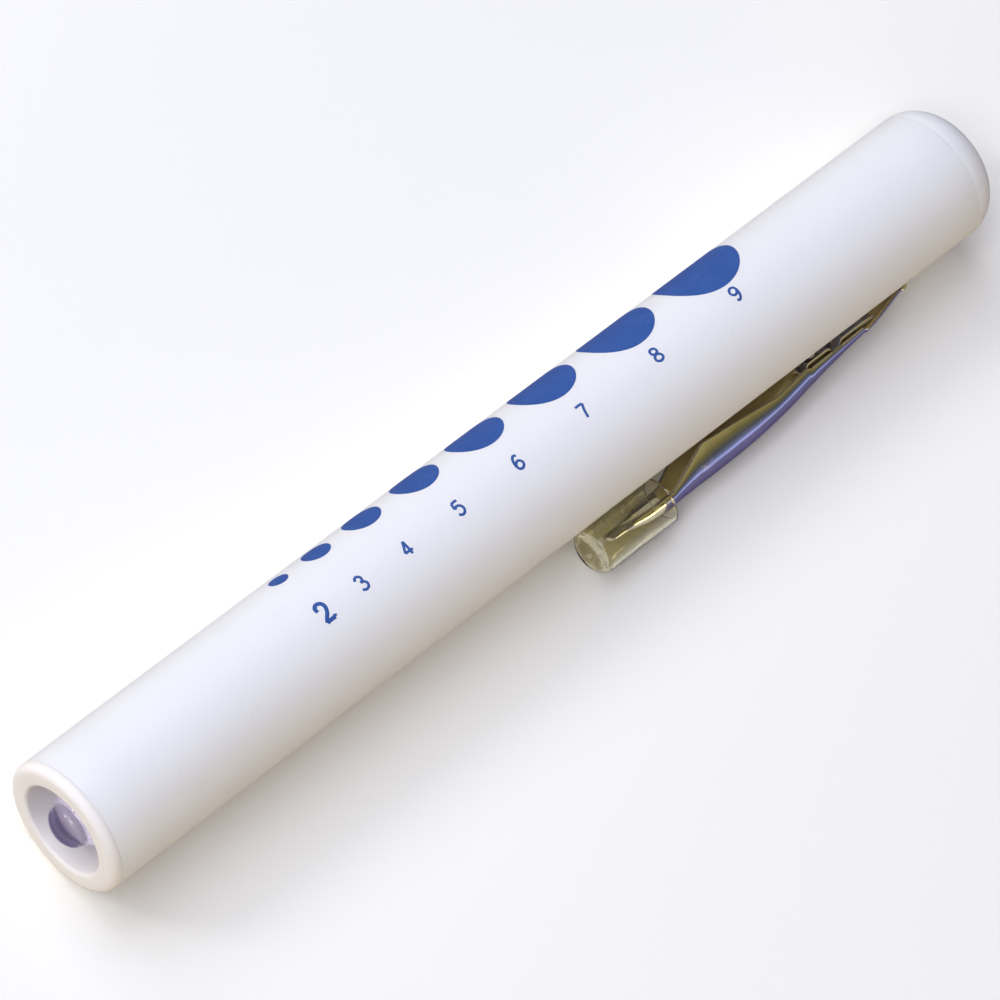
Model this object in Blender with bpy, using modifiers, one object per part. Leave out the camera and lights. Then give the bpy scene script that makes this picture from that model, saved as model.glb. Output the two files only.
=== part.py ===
"""Diagnostic penlight: a closed plastic barrel with a lens bulb, two cells and a clip switch.

Metres, +Z up. The penlight lies on z = 0, on its barrel and on the clip's plastic sleeve.
The barrel runs along X with the bulb at the -X end, and the clip is on the -Y side.
The lengths below are millimetres. "Along" is a distance from the lens tip towards the rear.
"Height" is a distance from the barrel's axis, measured straight out towards the clip.
"""

import math

import bmesh
import bpy
from mathutils import Matrix, Vector

MM = 0.001
OBJECT_NAME = "penlight"

# Driving dimensions of the barrel and of the gap that neighbouring pieces keep.
LENGTH = 116.5
BARREL_R = 6.8
BORE_R = 5.55
GAP = 0.3
BARREL_SEGMENTS = 64
SEGMENTS = 48
BULB_SEGMENTS = 32
SMALL_SEGMENTS = 24

# Moulded ends: the nose ring's rounded lip, its recess round the bulb, and the rear plug.
RIM = 0.5
LIP_LENGTH = 1.5
LIP_ROUND = 0.8
NOSE_HOLE_R = 4.65
NOSE_EDGE_ROUND = 0.35
RECESS_DEPTH = 4.2
BULKHEAD = 1.2
SPIGOT_R = BORE_R - GAP
SPIGOT_END = 9.6
PLUG_ROUND = 3.5
PLUG_SEAM = 112.9
PLUG_SPIGOT_START = 108.2
SPRING_POCKET_R = 4.35

# Lens-end bulb: its lens bead stands a little proud of the rim.
LENS_R = 2.15
LENS_RISE = 1.28
LENS_STEP = 15
SHOULDER = [(2.3, 1.6), (2.65, 2.2), (2.85, 3.0)]
GLASS_R = 2.85
GLASS_WALL = 0.4
GLASS_INSIDE = [(0.0, 2.7), (1.6, 2.9), (GLASS_R - GLASS_WALL, 3.8)]
GLASS_BODY_END = 9.6
NECK_R = 2.2
NECK_START = 10.6
NECK_END = 12.8
STEM_R = (0.95, 1.5)
STEM_ALONG = (9.0, 12.6)
BASE_INNER_R = 2.5
BASE_START = 11.0
BASE_END = 15.9
BASE_FLANGE_R = 3.9
BASE_FLANGE = (11.3, 11.8)
INSULATOR = (14.9, 16.2)
CONTACT = [(0.0, 17.3), (0.7, 17.25), (1.2, 16.9), (1.2, 16.5), (0.6, 16.5), (0.6, 14.9), (0.0, 14.9)]
LEAD_OFFSET = 0.5
LEAD_R = 0.13
LEAD_ALONG = (14.5, 8.0, 6.6)
FILAMENT_ALONG = 4.9
FILAMENT_HALF = 0.7
FILAMENT_R = 0.22
FILAMENT_WIRE_R = 0.06
FILAMENT_TURNS = 6
LEAD_TIP_OFFSET = 0.95

# Two AAA cells in line, positive ends forward. The depths are from the front of a cell.
CELL_LENGTH = 44.5
CELL_R = 5.25
CELL_WALL = 0.35
BUTTON_R = 1.9
BUTTON_FLANGE_R = 2.9
BUTTON_FLANGE = (1.8, 2.1)
BUTTON_ROUND = 0.15
CAN_START = 0.8
WASHER = (1.0, 1.5)
CORE_START = 2.4
BASE_PLATE = 0.6
FRONT_CELL_START = 17.6
REAR_CELL_START = FRONT_CELL_START + CELL_LENGTH + GAP
REAR_CELL_END = REAR_CELL_START + CELL_LENGTH

# The keyway in the bore, and the strip that runs in it from the switch to the bulb.
KEYWAY_FLOOR = 6.2
KEYWAY_WIDTH = 3.2
STRIP_HEIGHT = 5.85
STRIP_THICK = 0.25
STRIP_WIDTH = 2.6
STRIP_END = 96.0
STRIP_FOOT = 15.93
STRIP_FOOT_TIP = 3.25
STRIP_BEND = 0.35
COLLAR = (12.1, 15.5)
FIBRE_WASHER_HOLE_R = 1.6
FIBRE_WASHER = (16.4, 16.9)

# Rear spring, with closed turns at both ends.
SPRING_R = 3.3
SPRING_WIRE_R = 0.3
SPRING_OPEN_TURNS = 2
SPRING_PER_TURN = 14

# Pocket clip: spring steel channel, its plastic tip sleeve and its hinge at the root.
SHEET = 0.4
SLEEVE_R = 2.5
SLEEVE_BORE_R = 2.1
SLEEVE_HEIGHT = 9.75
SLEEVE_START = 61.0
SLEEVE_END = 70.6
SLEEVE_ROUND = 1.3
TOOTH_ALONG = 76.3
TOOTH_HEIGHT = 6.95
CLIP_BEND_ACROSS = 1.6
CLIP_BEND_RISE = 3.4
EDGE_MARGIN = 0.02
CLIP_HINGE = (104.15, 7.2)
SLOT = (104.0, 105.7)
ROOT_SHEET = 0.3
ROOT_HEIGHT = STRIP_HEIGHT + 0.02
ROOT_FOOT = REAR_CELL_END + GAP + ROOT_SHEET / 2
ROOT_FOOT_TIP = 2.9
ROOT_TURN = [(104.3, 7.2), (104.65, 7.05), (104.85, 6.7), (104.95, 6.2), (105.2, 5.9)]

# Contact tongue under the clip's root, with the pip that closes the switch.
TONGUE_HINGE = (99.2, 7.6)
TONGUE_HEIGHT = 7.5
TONGUE_RAISED = 8.0
TONGUE_PATH = [(100.0, 7.65), (98.4, TONGUE_HEIGHT), (95.6, TONGUE_HEIGHT), (95.2, TONGUE_RAISED),
               (94.2, TONGUE_RAISED), (93.8, TONGUE_HEIGHT), (91.0, TONGUE_HEIGHT), (90.5, 8.2)]
TONGUE_WIDTH = 2.4
TONGUE_THICK = 0.3
PIP_ALONG = 92.4
PIP_R = 0.55
PIP_TAPER = 0.7
PIP_TIP = 6.38
WINDOW = 2.2

# The clip leans on the floor: its angle from straight down follows from the two radii.
CLIP_FROM_DOWN = math.acos((BARREL_R - SLEEVE_R) / SLEEVE_HEIGHT)
CLIP_REACH = SLEEVE_HEIGHT * math.sin(CLIP_FROM_DOWN) + SLEEVE_R
AXIS_Y = (CLIP_REACH - BARREL_R) / 2
AXIS_POINT = Vector((-LENGTH / 2, AXIS_Y, BARREL_R)) * MM

# Clip shape as (along, value): outer face, half width, and lower edge of the side walls.
CLIP_FACE = [(63.8, 10.1), (66.2, 10.15), (67.4, 10.75), (70.6, 10.85), (76.0, 10.85),
             (80.0, 10.82), (83.5, 10.65), (88.0, 10.12), (92.0, 9.4), (96.2, 8.8),
             (100.5, 8.3), (102.8, 7.8), (104.0, 7.4)]
CLIP_HALF_WIDTH = [(63.8, 1.0), (66.2, 1.1), (67.4, 1.45), (71.5, 1.55), (76.0, 1.9),
                   (88.0, 1.9), (98.4, 1.75), (99.2, 1.45), (104.0, 1.3)]
CLIP_EDGE = [(63.8, 9.65), (66.2, 9.7), (67.4, 9.5), (71.6, 9.3), (TOOTH_ALONG, TOOTH_HEIGHT),
             (81.0, 7.4), (86.0, 7.95), (90.4, 7.5), (90.9, 7.8), (98.2, 7.75),
             (98.6, 8.15), (100.5, 7.85), (102.8, 7.3), (104.0, 6.95)]


def clear_scene():
    """Start from an empty scene."""
    for item in list(bpy.data.objects):
        bpy.data.objects.remove(item, do_unlink=True)


def collection(name):
    """Make a collection in the scene."""
    group = bpy.data.collections.new(name)
    bpy.context.scene.collection.children.link(group)
    return group


def material(name, colour, roughness, metallic=0.0, transmission=0.0):
    """Make a Principled material."""
    made = bpy.data.materials.new(name)
    made.use_nodes = True
    shader = made.node_tree.nodes["Principled BSDF"]
    shader.inputs["Base Color"].default_value = (*colour, 1.0)
    shader.inputs["Roughness"].default_value = roughness
    shader.inputs["Metallic"].default_value = metallic
    shader.inputs["Transmission Weight"].default_value = transmission
    made.diffuse_color = (*colour, 1.0)
    return made


def frame_empty(name, group, location, rotation, parent=None):
    """Make an empty that carries a group of pieces."""
    empty = bpy.data.objects.new(name, None)
    group.objects.link(empty)
    empty.parent = parent
    empty.location = location
    empty.rotation_euler = rotation
    return empty


def place(item, group, parent, finish):
    """Link a new object, hang it on its empty and give it its material."""
    group.objects.link(item)
    item.parent = parent
    item.data.materials.append(finish)
    return item


def apply_modifiers(item):
    """Turn an object's modifiers into plain mesh, shaded smooth with sharp corners."""
    bpy.context.view_layer.update()
    evaluated = item.evaluated_get(bpy.context.evaluated_depsgraph_get())
    mesh = bpy.data.meshes.new_from_object(evaluated)
    item.modifiers.clear()
    item.data = mesh
    mesh.shade_smooth()
    mesh.set_sharp_from_angle(angle=math.radians(35))


def arc(centre, radius, start, end, steps):
    """Points of an arc in a profile, with its angles in degrees."""
    angles = [math.radians(start + (end - start) * i / steps) for i in range(steps + 1)]
    return [(centre[0] + radius * math.cos(a), centre[1] + radius * math.sin(a)) for a in angles]


def turned(name, profile, group, parent, finish, segments=SEGMENTS):
    """Turn a (radius, along) profile about the axis. It runs forward down its outer side."""
    mesh = bpy.data.meshes.new(name)
    points = [(radius * MM, 0.0, along * MM) for radius, along in profile]
    edges = [(i, i + 1) for i in range(len(points) - 1)]
    if profile[0][0] > 0:
        edges.append((len(points) - 1, 0))
    mesh.from_pydata(points, edges, [])
    item = place(bpy.data.objects.new(name, mesh), group, parent, finish)
    screw = item.modifiers.new("turn", "SCREW")
    screw.steps = segments
    screw.render_steps = segments
    screw.use_merge_vertices = True
    screw.merge_threshold = 0.00001
    return item


def ring(name, inner, outer, start, end, group, parent, finish, segments=SEGMENTS):
    """Make a plain ring or tube."""
    profile = [(outer, end), (outer, start), (inner, start), (inner, end)]
    return turned(name, profile, group, parent, finish, segments)


def disc(name, radius, start, end, group, parent, finish, segments=SEGMENTS):
    """Make a plain disc or rod."""
    profile = [(0.0, end), (radius, end), (radius, start), (0.0, start)]
    return turned(name, profile, group, parent, finish, segments)


def box_cutter(name, low, high, group, parent):
    """Make a box that cuts another piece, from two corners in its parent's axes."""
    mesh = bpy.data.meshes.new(name)
    shape = bmesh.new()
    low, high = Vector(low) * MM, Vector(high) * MM
    size = high - low
    matrix = Matrix.Translation((low + high) / 2) @ Matrix.Diagonal((*size, 1.0))
    bmesh.ops.create_cube(shape, size=1.0, matrix=matrix)
    shape.to_mesh(mesh)
    shape.free()
    cutter = bpy.data.objects.new(name, mesh)
    group.objects.link(cutter)
    cutter.parent = parent
    cutter.hide_render = True
    cutter.display_type = "WIRE"
    return cutter


def boolean(item, other, operation):
    """Cut or join another object with the exact solver."""
    modifier = item.modifiers.new(other.name, "BOOLEAN")
    modifier.operation = operation
    modifier.solver = "EXACT"
    modifier.object = other


def wire(name, points, radius, group, parent, finish, resolution=2):
    """Make a wire with filled caps through a list of points."""
    data = bpy.data.curves.new(name, "CURVE")
    data.dimensions = "3D"
    data.bevel_depth = radius * MM
    data.bevel_resolution = resolution
    data.use_fill_caps = True
    spline = data.splines.new("POLY")
    spline.points.add(len(points) - 1)
    for point, place_at in zip(spline.points, points):
        point.co = (*(Vector(place_at) * MM), 1.0)
    return place(bpy.data.objects.new(name, data), group, parent, finish)


def helix(radius, start, end, turns, per_turn):
    """Points of a coil about the third axis."""
    count = int(turns * per_turn)
    points = []
    for i in range(count + 1):
        angle = 2 * math.pi * turns * i / count
        along = start + (end - start) * i / count
        points.append((radius * math.cos(angle), radius * math.sin(angle), along))
    return points


def sheet_from_rows(name, rows, thickness, offset, group, parent, finish):
    """Give a grid of points a sheet's thickness."""
    mesh = bpy.data.meshes.new(name)
    across = len(rows[0])
    points = [Vector(point) * MM for row in rows for point in row]
    faces = []
    for i in range(len(rows) - 1):
        for j in range(across - 1):
            corner = i * across + j
            faces.append((corner, corner + 1, corner + across + 1, corner + across))
    mesh.from_pydata(points, [], faces)
    item = place(bpy.data.objects.new(name, mesh), group, parent, finish)
    solid = item.modifiers.new("sheet", "SOLIDIFY")
    solid.thickness = thickness * MM
    solid.offset = offset
    solid.use_even_offset = True
    return item


def bent_strip(name, path, width, thickness, origin, group, parent, finish):
    """Make a flat strip that follows an (along, height) path."""
    rows = []
    for along, height in path:
        spot = (along - origin[0], height - origin[1])
        rows.append([(spot[0], -width / 2, spot[1]), (spot[0], width / 2, spot[1])])
    return sheet_from_rows(name, rows, thickness, 0.0, group, parent, finish)


def read_table(table, along):
    """Straight interpolation in an (along, value) table."""
    for (start, first), (end, last) in zip(table, table[1:]):
        if along <= end:
            part = (along - start) / (end - start)
            return first + (last - first) * part
    return table[-1][1]


def make_barrel(group, cutters, axis, side, finish):
    """White tube with a keyway in its bore, the switch window and the clip's slot."""
    start = LIP_LENGTH + GAP
    end = PLUG_SEAM - GAP
    barrel = ring("barrel", BORE_R, BARREL_R, start, end, group, axis, finish, BARREL_SEGMENTS)
    half = KEYWAY_WIDTH / 2
    reach = BARREL_R + 1
    low = (-1, -half, BORE_R - 1)
    high = (LENGTH, half, KEYWAY_FLOOR)
    boolean(barrel, box_cutter("keyway", low, high, cutters, side), "DIFFERENCE")
    low = (PIP_ALONG - WINDOW / 2, -WINDOW / 2, BORE_R)
    high = (PIP_ALONG + WINDOW / 2, WINDOW / 2, reach)
    boolean(barrel, box_cutter("switch_window", low, high, cutters, side), "DIFFERENCE")
    low = (SLOT[0], -half, BORE_R)
    high = (SLOT[1], half, reach)
    boolean(barrel, box_cutter("clip_slot", low, high, cutters, side), "DIFFERENCE")
    apply_modifiers(barrel)


def make_nose_ring(group, axis, finish):
    """Rounded front lip, the recess round the bulb, and the spigot inside the barrel."""
    lip_centre = (BARREL_R - LIP_ROUND, RIM + LIP_ROUND)
    edge_centre = (NOSE_HOLE_R + NOSE_EDGE_ROUND, RIM + NOSE_EDGE_ROUND)
    floor_end = RECESS_DEPTH + BULKHEAD
    bulb_hole = GLASS_R + GAP
    profile = [(SPIGOT_R, SPIGOT_END), (SPIGOT_R, LIP_LENGTH), (BARREL_R, LIP_LENGTH)]
    profile += arc(lip_centre, LIP_ROUND, 0, -90, 6)
    profile += arc(edge_centre, NOSE_EDGE_ROUND, -90, -180, 3)
    profile += [(NOSE_HOLE_R, RECESS_DEPTH), (bulb_hole, RECESS_DEPTH), (bulb_hole, floor_end)]
    profile += [(NOSE_HOLE_R, floor_end), (NOSE_HOLE_R, SPIGOT_END)]
    apply_modifiers(turned("nose_ring", profile, group, axis, finish))


def make_rear_plug(group, axis, finish):
    """Domed end cap with a flat middle, and a hollow spigot that holds the spring."""
    centre = (BARREL_R - PLUG_ROUND, LENGTH - PLUG_ROUND)
    floor = PLUG_SEAM + GAP
    profile = [(0.0, LENGTH)] + arc(centre, PLUG_ROUND, 90, 0, 7)
    profile += [(BARREL_R, PLUG_SEAM), (SPIGOT_R, PLUG_SEAM), (SPIGOT_R, PLUG_SPIGOT_START)]
    profile += [(SPRING_POCKET_R, PLUG_SPIGOT_START), (SPRING_POCKET_R, floor), (0.0, floor)]
    apply_modifiers(turned("rear_plug", profile, group, axis, finish))


def make_bulb(group, axis, glass, metal, tungsten, bead):
    """Lens-end bulb: glass, stem, base shell, centre contact, leads and filament."""
    angles = [math.radians(angle) for angle in range(90, -1, -LENS_STEP)]
    dome = [(LENS_R * math.sin(a), LENS_RISE * (1 - math.cos(a))) for a in angles]
    neck_inside = NECK_R - GLASS_WALL
    inside = GLASS_R - GLASS_WALL
    profile = GLASS_INSIDE + [(inside, GLASS_BODY_END - GAP), (neck_inside, NECK_START)]
    profile += [(neck_inside, NECK_END), (NECK_R, NECK_END), (NECK_R, NECK_START)]
    profile += [(GLASS_R, GLASS_BODY_END)] + SHOULDER[::-1] + dome
    apply_modifiers(turned("bulb_glass", profile, group, axis, glass, BULB_SEGMENTS))
    stem = ring("bulb_stem", *STEM_R, *STEM_ALONG, group, axis, glass, SMALL_SEGMENTS)
    apply_modifiers(stem)
    profile = [(GLASS_R, BASE_END), (GLASS_R, BASE_FLANGE[1]), (BASE_FLANGE_R, BASE_FLANGE[1])]
    profile += [(BASE_FLANGE_R, BASE_FLANGE[0]), (GLASS_R, BASE_FLANGE[0]), (GLASS_R, BASE_START)]
    profile += [(BASE_INNER_R, BASE_START), (BASE_INNER_R, BASE_END)]
    apply_modifiers(turned("bulb_base", profile, group, axis, metal, BULB_SEGMENTS))
    insulator_r = BASE_INNER_R - GAP
    insulator = ring("bulb_insulator", STEM_R[0], insulator_r, *INSULATOR, group, axis, bead,
                     SMALL_SEGMENTS)
    apply_modifiers(insulator)
    apply_modifiers(turned("bulb_contact", CONTACT, group, axis, metal, SMALL_SEGMENTS))
    for name, sign in (("lead_wire_a", 1), ("lead_wire_b", -1)):
        path = [(sign * LEAD_OFFSET, 0, along) for along in LEAD_ALONG]
        path.append((sign * LEAD_TIP_OFFSET, 0, FILAMENT_ALONG))
        wire(name, path, LEAD_R, group, axis, metal)
    coil = helix(FILAMENT_R, -FILAMENT_HALF, FILAMENT_HALF, FILAMENT_TURNS, 8)
    coil = [(across, a, b + FILAMENT_ALONG) for a, b, across in coil]
    wire("filament", coil, FILAMENT_WIRE_R, group, axis, tungsten, 1)


def make_bulb_seat(group, axis, side, brass, fibre):
    """Brass collar behind the bulb's flange, the contact strip, and the fibre washer."""
    apply_modifiers(ring("bulb_collar", GLASS_R + GAP, SPIGOT_R, *COLLAR, group, axis, brass))
    path = [(STRIP_END, STRIP_HEIGHT), (STRIP_FOOT + STRIP_BEND, STRIP_HEIGHT)]
    path += [(STRIP_FOOT, STRIP_HEIGHT - STRIP_BEND), (STRIP_FOOT, STRIP_FOOT_TIP)]
    strip = bent_strip("contact_strip", path, STRIP_WIDTH, STRIP_THICK, (0, 0), group, side, brass)
    apply_modifiers(strip)
    washer = ring("fibre_washer", FIBRE_WASHER_HOLE_R, SPIGOT_R, *FIBRE_WASHER, group, axis, fibre)
    apply_modifiers(washer)


def make_cell(name, start, group, axis, can, metal, card, mix):
    """One AAA cell: can, positive button, sealing washer, core and negative plate."""
    inner = CELL_R - CELL_WALL
    plate_r = inner - GAP
    end = start + CELL_LENGTH
    shell = ring(name + "_can", inner, CELL_R, start + CAN_START, end - GAP, group, axis, can)
    apply_modifiers(shell)
    flange_front, flange_back = BUTTON_FLANGE
    button = [(0.0, flange_back), (BUTTON_FLANGE_R, flange_back), (BUTTON_FLANGE_R, flange_front)]
    button += [(BUTTON_R, flange_front), (BUTTON_R, BUTTON_ROUND), (BUTTON_R - BUTTON_ROUND, 0.0)]
    button = [(radius, start + depth) for radius, depth in button + [(0.0, 0.0)]]
    apply_modifiers(turned(name + "_button", button, group, axis, metal, BULB_SEGMENTS))
    front, back = start + WASHER[0], start + WASHER[1]
    washer = ring(name + "_washer", BUTTON_R + GAP, plate_r, front, back, group, axis, card,
                  BULB_SEGMENTS)
    apply_modifiers(washer)
    plate = end - BASE_PLATE
    core = disc(name + "_core", plate_r, start + CORE_START, plate - GAP, group, axis, mix,
                BULB_SEGMENTS)
    apply_modifiers(core)
    apply_modifiers(disc(name + "_base", plate_r, plate, end, group, axis, metal, BULB_SEGMENTS))


def make_rear_spring(group, axis, finish):
    """Coil spring that holds the cells forward, with closed turns at both ends."""
    start = REAR_CELL_END + 3 * GAP + SPRING_WIRE_R
    end = PLUG_SEAM - SPRING_WIRE_R
    closed = 2 * SPRING_WIRE_R + 0.05
    path = helix(SPRING_R, start, start + closed, 1, SPRING_PER_TURN)
    path += helix(SPRING_R, start + closed, end - closed, SPRING_OPEN_TURNS, SPRING_PER_TURN)[1:]
    path += helix(SPRING_R, end - closed, end, 1, SPRING_PER_TURN)[1:]
    wire("rear_spring", path, SPRING_WIRE_R, group, axis, finish)


def make_clip(group, hinge, finish):
    """Pocket clip: a channel of spring steel whose side walls carry a gripping tooth."""
    tables = (CLIP_FACE, CLIP_HALF_WIDTH, CLIP_EDGE)
    stops = sorted({along for table in tables for along, _ in table})
    rows = []
    for along in stops:
        face = read_table(CLIP_FACE, along)
        half = read_table(CLIP_HALF_WIDTH, along)
        edge = read_table(CLIP_EDGE, along)
        inwards = min(CLIP_BEND_ACROSS, half - SHEET / 2)
        rise = min(CLIP_BEND_RISE, face - edge - EDGE_MARGIN)
        quarter = arc((0, 0), 1, 0, 90, 5)
        upper = [(half - inwards * (1 - y), face - rise * (1 - z)) for y, z in quarter]
        section = [(half, edge)] + upper + [(0.0, face)]
        section += [(-y, z) for y, z in reversed(upper)] + [(-half, edge)]
        rows.append([(along - CLIP_HINGE[0], y, z - CLIP_HINGE[1]) for y, z in section])
    clip = sheet_from_rows("pocket_clip", rows, SHEET, -1.0, group, hinge, finish)
    apply_modifiers(clip)


def make_clip_root(group, side, finish):
    """Root of the clip: through the barrel's slot, along the keyway and behind the rear cell."""
    bend = STRIP_BEND
    path = ROOT_TURN + [(105.6, ROOT_HEIGHT), (ROOT_FOOT - bend, ROOT_HEIGHT)]
    path += [(ROOT_FOOT, ROOT_HEIGHT - bend), (ROOT_FOOT, ROOT_FOOT_TIP)]
    tab = bent_strip("clip_root_tab", path, STRIP_WIDTH, ROOT_SHEET, (0, 0), group, side, finish)
    apply_modifiers(tab)


def make_tongue(group, cutters, hinge, finish):
    """Contact tongue with two feet near the barrel, and a pip over the switch window."""
    tongue = bent_strip("contact_tongue", TONGUE_PATH, TONGUE_WIDTH, TONGUE_THICK, TONGUE_HINGE,
                        group, hinge, finish)
    middle = (TONGUE_HEIGHT + PIP_TIP) / 2
    centre = Vector((PIP_ALONG - TONGUE_HINGE[0], 0, middle - TONGUE_HINGE[1])) * MM
    shape = bmesh.new()
    bmesh.ops.create_cone(shape, cap_ends=True, segments=16, radius1=PIP_R * PIP_TAPER * MM,
                          radius2=PIP_R * MM, depth=(TONGUE_HEIGHT - PIP_TIP) * MM,
                          matrix=Matrix.Translation(centre))
    mesh = bpy.data.meshes.new("contact_pip")
    shape.to_mesh(mesh)
    shape.free()
    pip = bpy.data.objects.new("contact_pip", mesh)
    cutters.objects.link(pip)
    pip.parent = hinge
    pip.hide_render = True
    pip.display_type = "WIRE"
    boolean(tongue, pip, "UNION")
    apply_modifiers(tongue)


def make_sleeve(group, axis, finish):
    """Clear plastic sleeve over the clip's tip, closed and rounded at the front."""
    wall = SLEEVE_R - SLEEVE_BORE_R
    centre = (SLEEVE_R - SLEEVE_ROUND, SLEEVE_START + SLEEVE_ROUND)
    floor = SLEEVE_START + 2 * wall
    profile = [(0.0, floor), (SLEEVE_BORE_R - wall, floor), (SLEEVE_BORE_R, floor + wall)]
    profile += [(SLEEVE_BORE_R, SLEEVE_END), (SLEEVE_R - 0.1, SLEEVE_END), (SLEEVE_R, SLEEVE_END - 0.1)]
    profile += arc(centre, SLEEVE_ROUND, 0, -90, 5) + [(0.0, SLEEVE_START)]
    apply_modifiers(turned("clip_tip_sleeve", profile, group, axis, finish, 32))


def main():
    """Build the whole penlight."""
    clear_scene()
    group = collection(OBJECT_NAME)
    cutters = collection("cutters")
    white = material("white_plastic", (0.84, 0.85, 0.9), 0.38)
    nose_white = material("nose_plastic", (0.88, 0.85, 0.83), 0.45)
    glass = material("bulb_glass", (0.95, 0.95, 0.97), 0.03, transmission=1.0)
    nickel = material("nickel_plate", (0.62, 0.61, 0.6), 0.3, 1.0)
    tungsten = material("tungsten", (0.2, 0.2, 0.2), 0.5, 1.0)
    bead = material("black_glass_bead", (0.03, 0.03, 0.03), 0.3)
    brass = material("brass", (0.72, 0.52, 0.22), 0.35, 1.0)
    fibre = material("red_fibre", (0.35, 0.09, 0.05), 0.8)
    can = material("zinc_can", (0.5, 0.52, 0.55), 0.45, 1.0)
    card = material("card", (0.5, 0.42, 0.3), 0.9)
    mix = material("black_mix", (0.02, 0.02, 0.02), 0.9)
    steel = material("spring_steel", (0.35, 0.35, 0.36), 0.35, 1.0)
    chrome = material("chromed_steel", (0.68, 0.7, 0.78), 0.12, 1.0)
    vinyl = material("clear_vinyl", (0.78, 0.74, 0.42), 0.15, transmission=0.9)

    axis = frame_empty("barrel_axis", group, AXIS_POINT, (0, math.radians(90), 0))
    turn = math.pi - CLIP_FROM_DOWN
    side = frame_empty("clip_side", group, AXIS_POINT, (turn, 0, 0))
    hinge_at = Vector((CLIP_HINGE[0], 0, CLIP_HINGE[1])) * MM
    clip_hinge = frame_empty("clip_hinge", group, hinge_at, (0, 0, 0), side)
    tongue_at = Vector((TONGUE_HINGE[0], 0, TONGUE_HINGE[1])) * MM - hinge_at
    tongue_hinge = frame_empty("tongue_hinge", group, tongue_at, (0, 0, 0), clip_hinge)
    sleeve_at = Vector((-CLIP_HINGE[0], 0, SLEEVE_HEIGHT - CLIP_HINGE[1])) * MM
    sleeve_axis = frame_empty("sleeve_axis", group, sleeve_at, (0, math.radians(90), 0), clip_hinge)
    bpy.context.view_layer.update()

    make_barrel(group, cutters, axis, side, white)
    make_nose_ring(group, axis, nose_white)
    make_rear_plug(group, axis, white)
    make_bulb(group, axis, glass, nickel, tungsten, bead)
    make_bulb_seat(group, axis, side, brass, fibre)
    make_cell("front_cell", FRONT_CELL_START, group, axis, can, nickel, card, mix)
    make_cell("rear_cell", REAR_CELL_START, group, axis, can, nickel, card, mix)
    make_rear_spring(group, axis, steel)
    make_clip_root(group, side, chrome)
    make_clip(group, clip_hinge, chrome)
    make_tongue(group, cutters, tongue_hinge, chrome)
    make_sleeve(group, sleeve_axis, vinyl)
    bpy.context.view_layer.update()


main()
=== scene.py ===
# %% [markdown]
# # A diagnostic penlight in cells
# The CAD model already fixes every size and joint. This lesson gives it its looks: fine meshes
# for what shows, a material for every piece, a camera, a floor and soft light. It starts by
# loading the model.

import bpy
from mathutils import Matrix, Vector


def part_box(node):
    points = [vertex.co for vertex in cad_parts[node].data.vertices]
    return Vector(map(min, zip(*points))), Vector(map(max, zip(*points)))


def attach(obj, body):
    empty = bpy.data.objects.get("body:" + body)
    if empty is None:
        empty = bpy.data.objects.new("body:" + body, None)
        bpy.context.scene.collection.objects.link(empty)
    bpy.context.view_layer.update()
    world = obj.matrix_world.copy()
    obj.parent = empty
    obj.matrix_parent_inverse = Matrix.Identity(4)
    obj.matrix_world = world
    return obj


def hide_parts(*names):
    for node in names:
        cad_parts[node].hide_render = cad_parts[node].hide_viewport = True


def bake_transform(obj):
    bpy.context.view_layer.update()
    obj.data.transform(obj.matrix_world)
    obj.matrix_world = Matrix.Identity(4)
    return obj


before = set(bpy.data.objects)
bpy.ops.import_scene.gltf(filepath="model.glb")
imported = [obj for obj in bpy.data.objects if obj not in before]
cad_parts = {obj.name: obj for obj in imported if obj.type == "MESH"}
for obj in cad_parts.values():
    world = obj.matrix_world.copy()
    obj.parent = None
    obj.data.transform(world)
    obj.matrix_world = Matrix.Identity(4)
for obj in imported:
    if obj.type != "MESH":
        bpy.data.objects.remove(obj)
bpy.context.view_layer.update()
print("CAD nodes:", len(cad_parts))

# %% [markdown]
# The penlight is turned about one axis, and its clip points away from that axis in one
# direction. Every place on it can then be said as three lengths in millimetres: how far along
# from the lens tip, how high above the axis towards the clip, and how far across. All three
# directions are read from the boxes of CAD nodes, so nothing is typed in twice.

# %% Three directions and one helper for places
import math

import bmesh
import bpy
from mathutils import Matrix, Vector

MM = 0.001
ALONG = Vector((1, 0, 0))


def box_middle(node):
    """Middle of a CAD node's box."""
    low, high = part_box(node)
    return (low + high) / 2


FRONT = box_middle("barrel")
FRONT.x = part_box("bulb_glass")[0].x
clip_way = box_middle("clip_tip_sleeve") - FRONT
clip_way.x = 0
OUT = clip_way.normalized()
ACROSS = OUT.cross(ALONG)
barrel_low, barrel_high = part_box("barrel")
BARREL_R = (barrel_high.z - barrel_low.z) / 2 / MM
LENGTH = (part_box("rear_plug")[1].x - FRONT.x) / MM


def spot(along, height, across=0.0):
    """A point from its distance along, its height towards the clip and its distance across."""
    return FRONT + (ALONG * along + OUT * height + ACROSS * across) * MM


print("length %.1f mm, radius %.2f mm" % (LENGTH, BARREL_R))

# %% [markdown]
# The camera comes next, because every later choice is judged through it. It looks down on the
# bulb end with a long lens, so that the barrel runs from corner to corner of the frame. Three
# angles and one distance place it. Building the three directions of the camera from them is
# safer than typing Euler angles, which are hard to read back.

# %% Camera
AIM_ALONG = 55.15
VIEW_DISTANCE = 632.8
VIEW_TILT = math.radians(27.80)
VIEW_LEAN = math.radians(2.88)
VIEW_ROLL = math.radians(52.95)
LENS = 248.7


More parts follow.
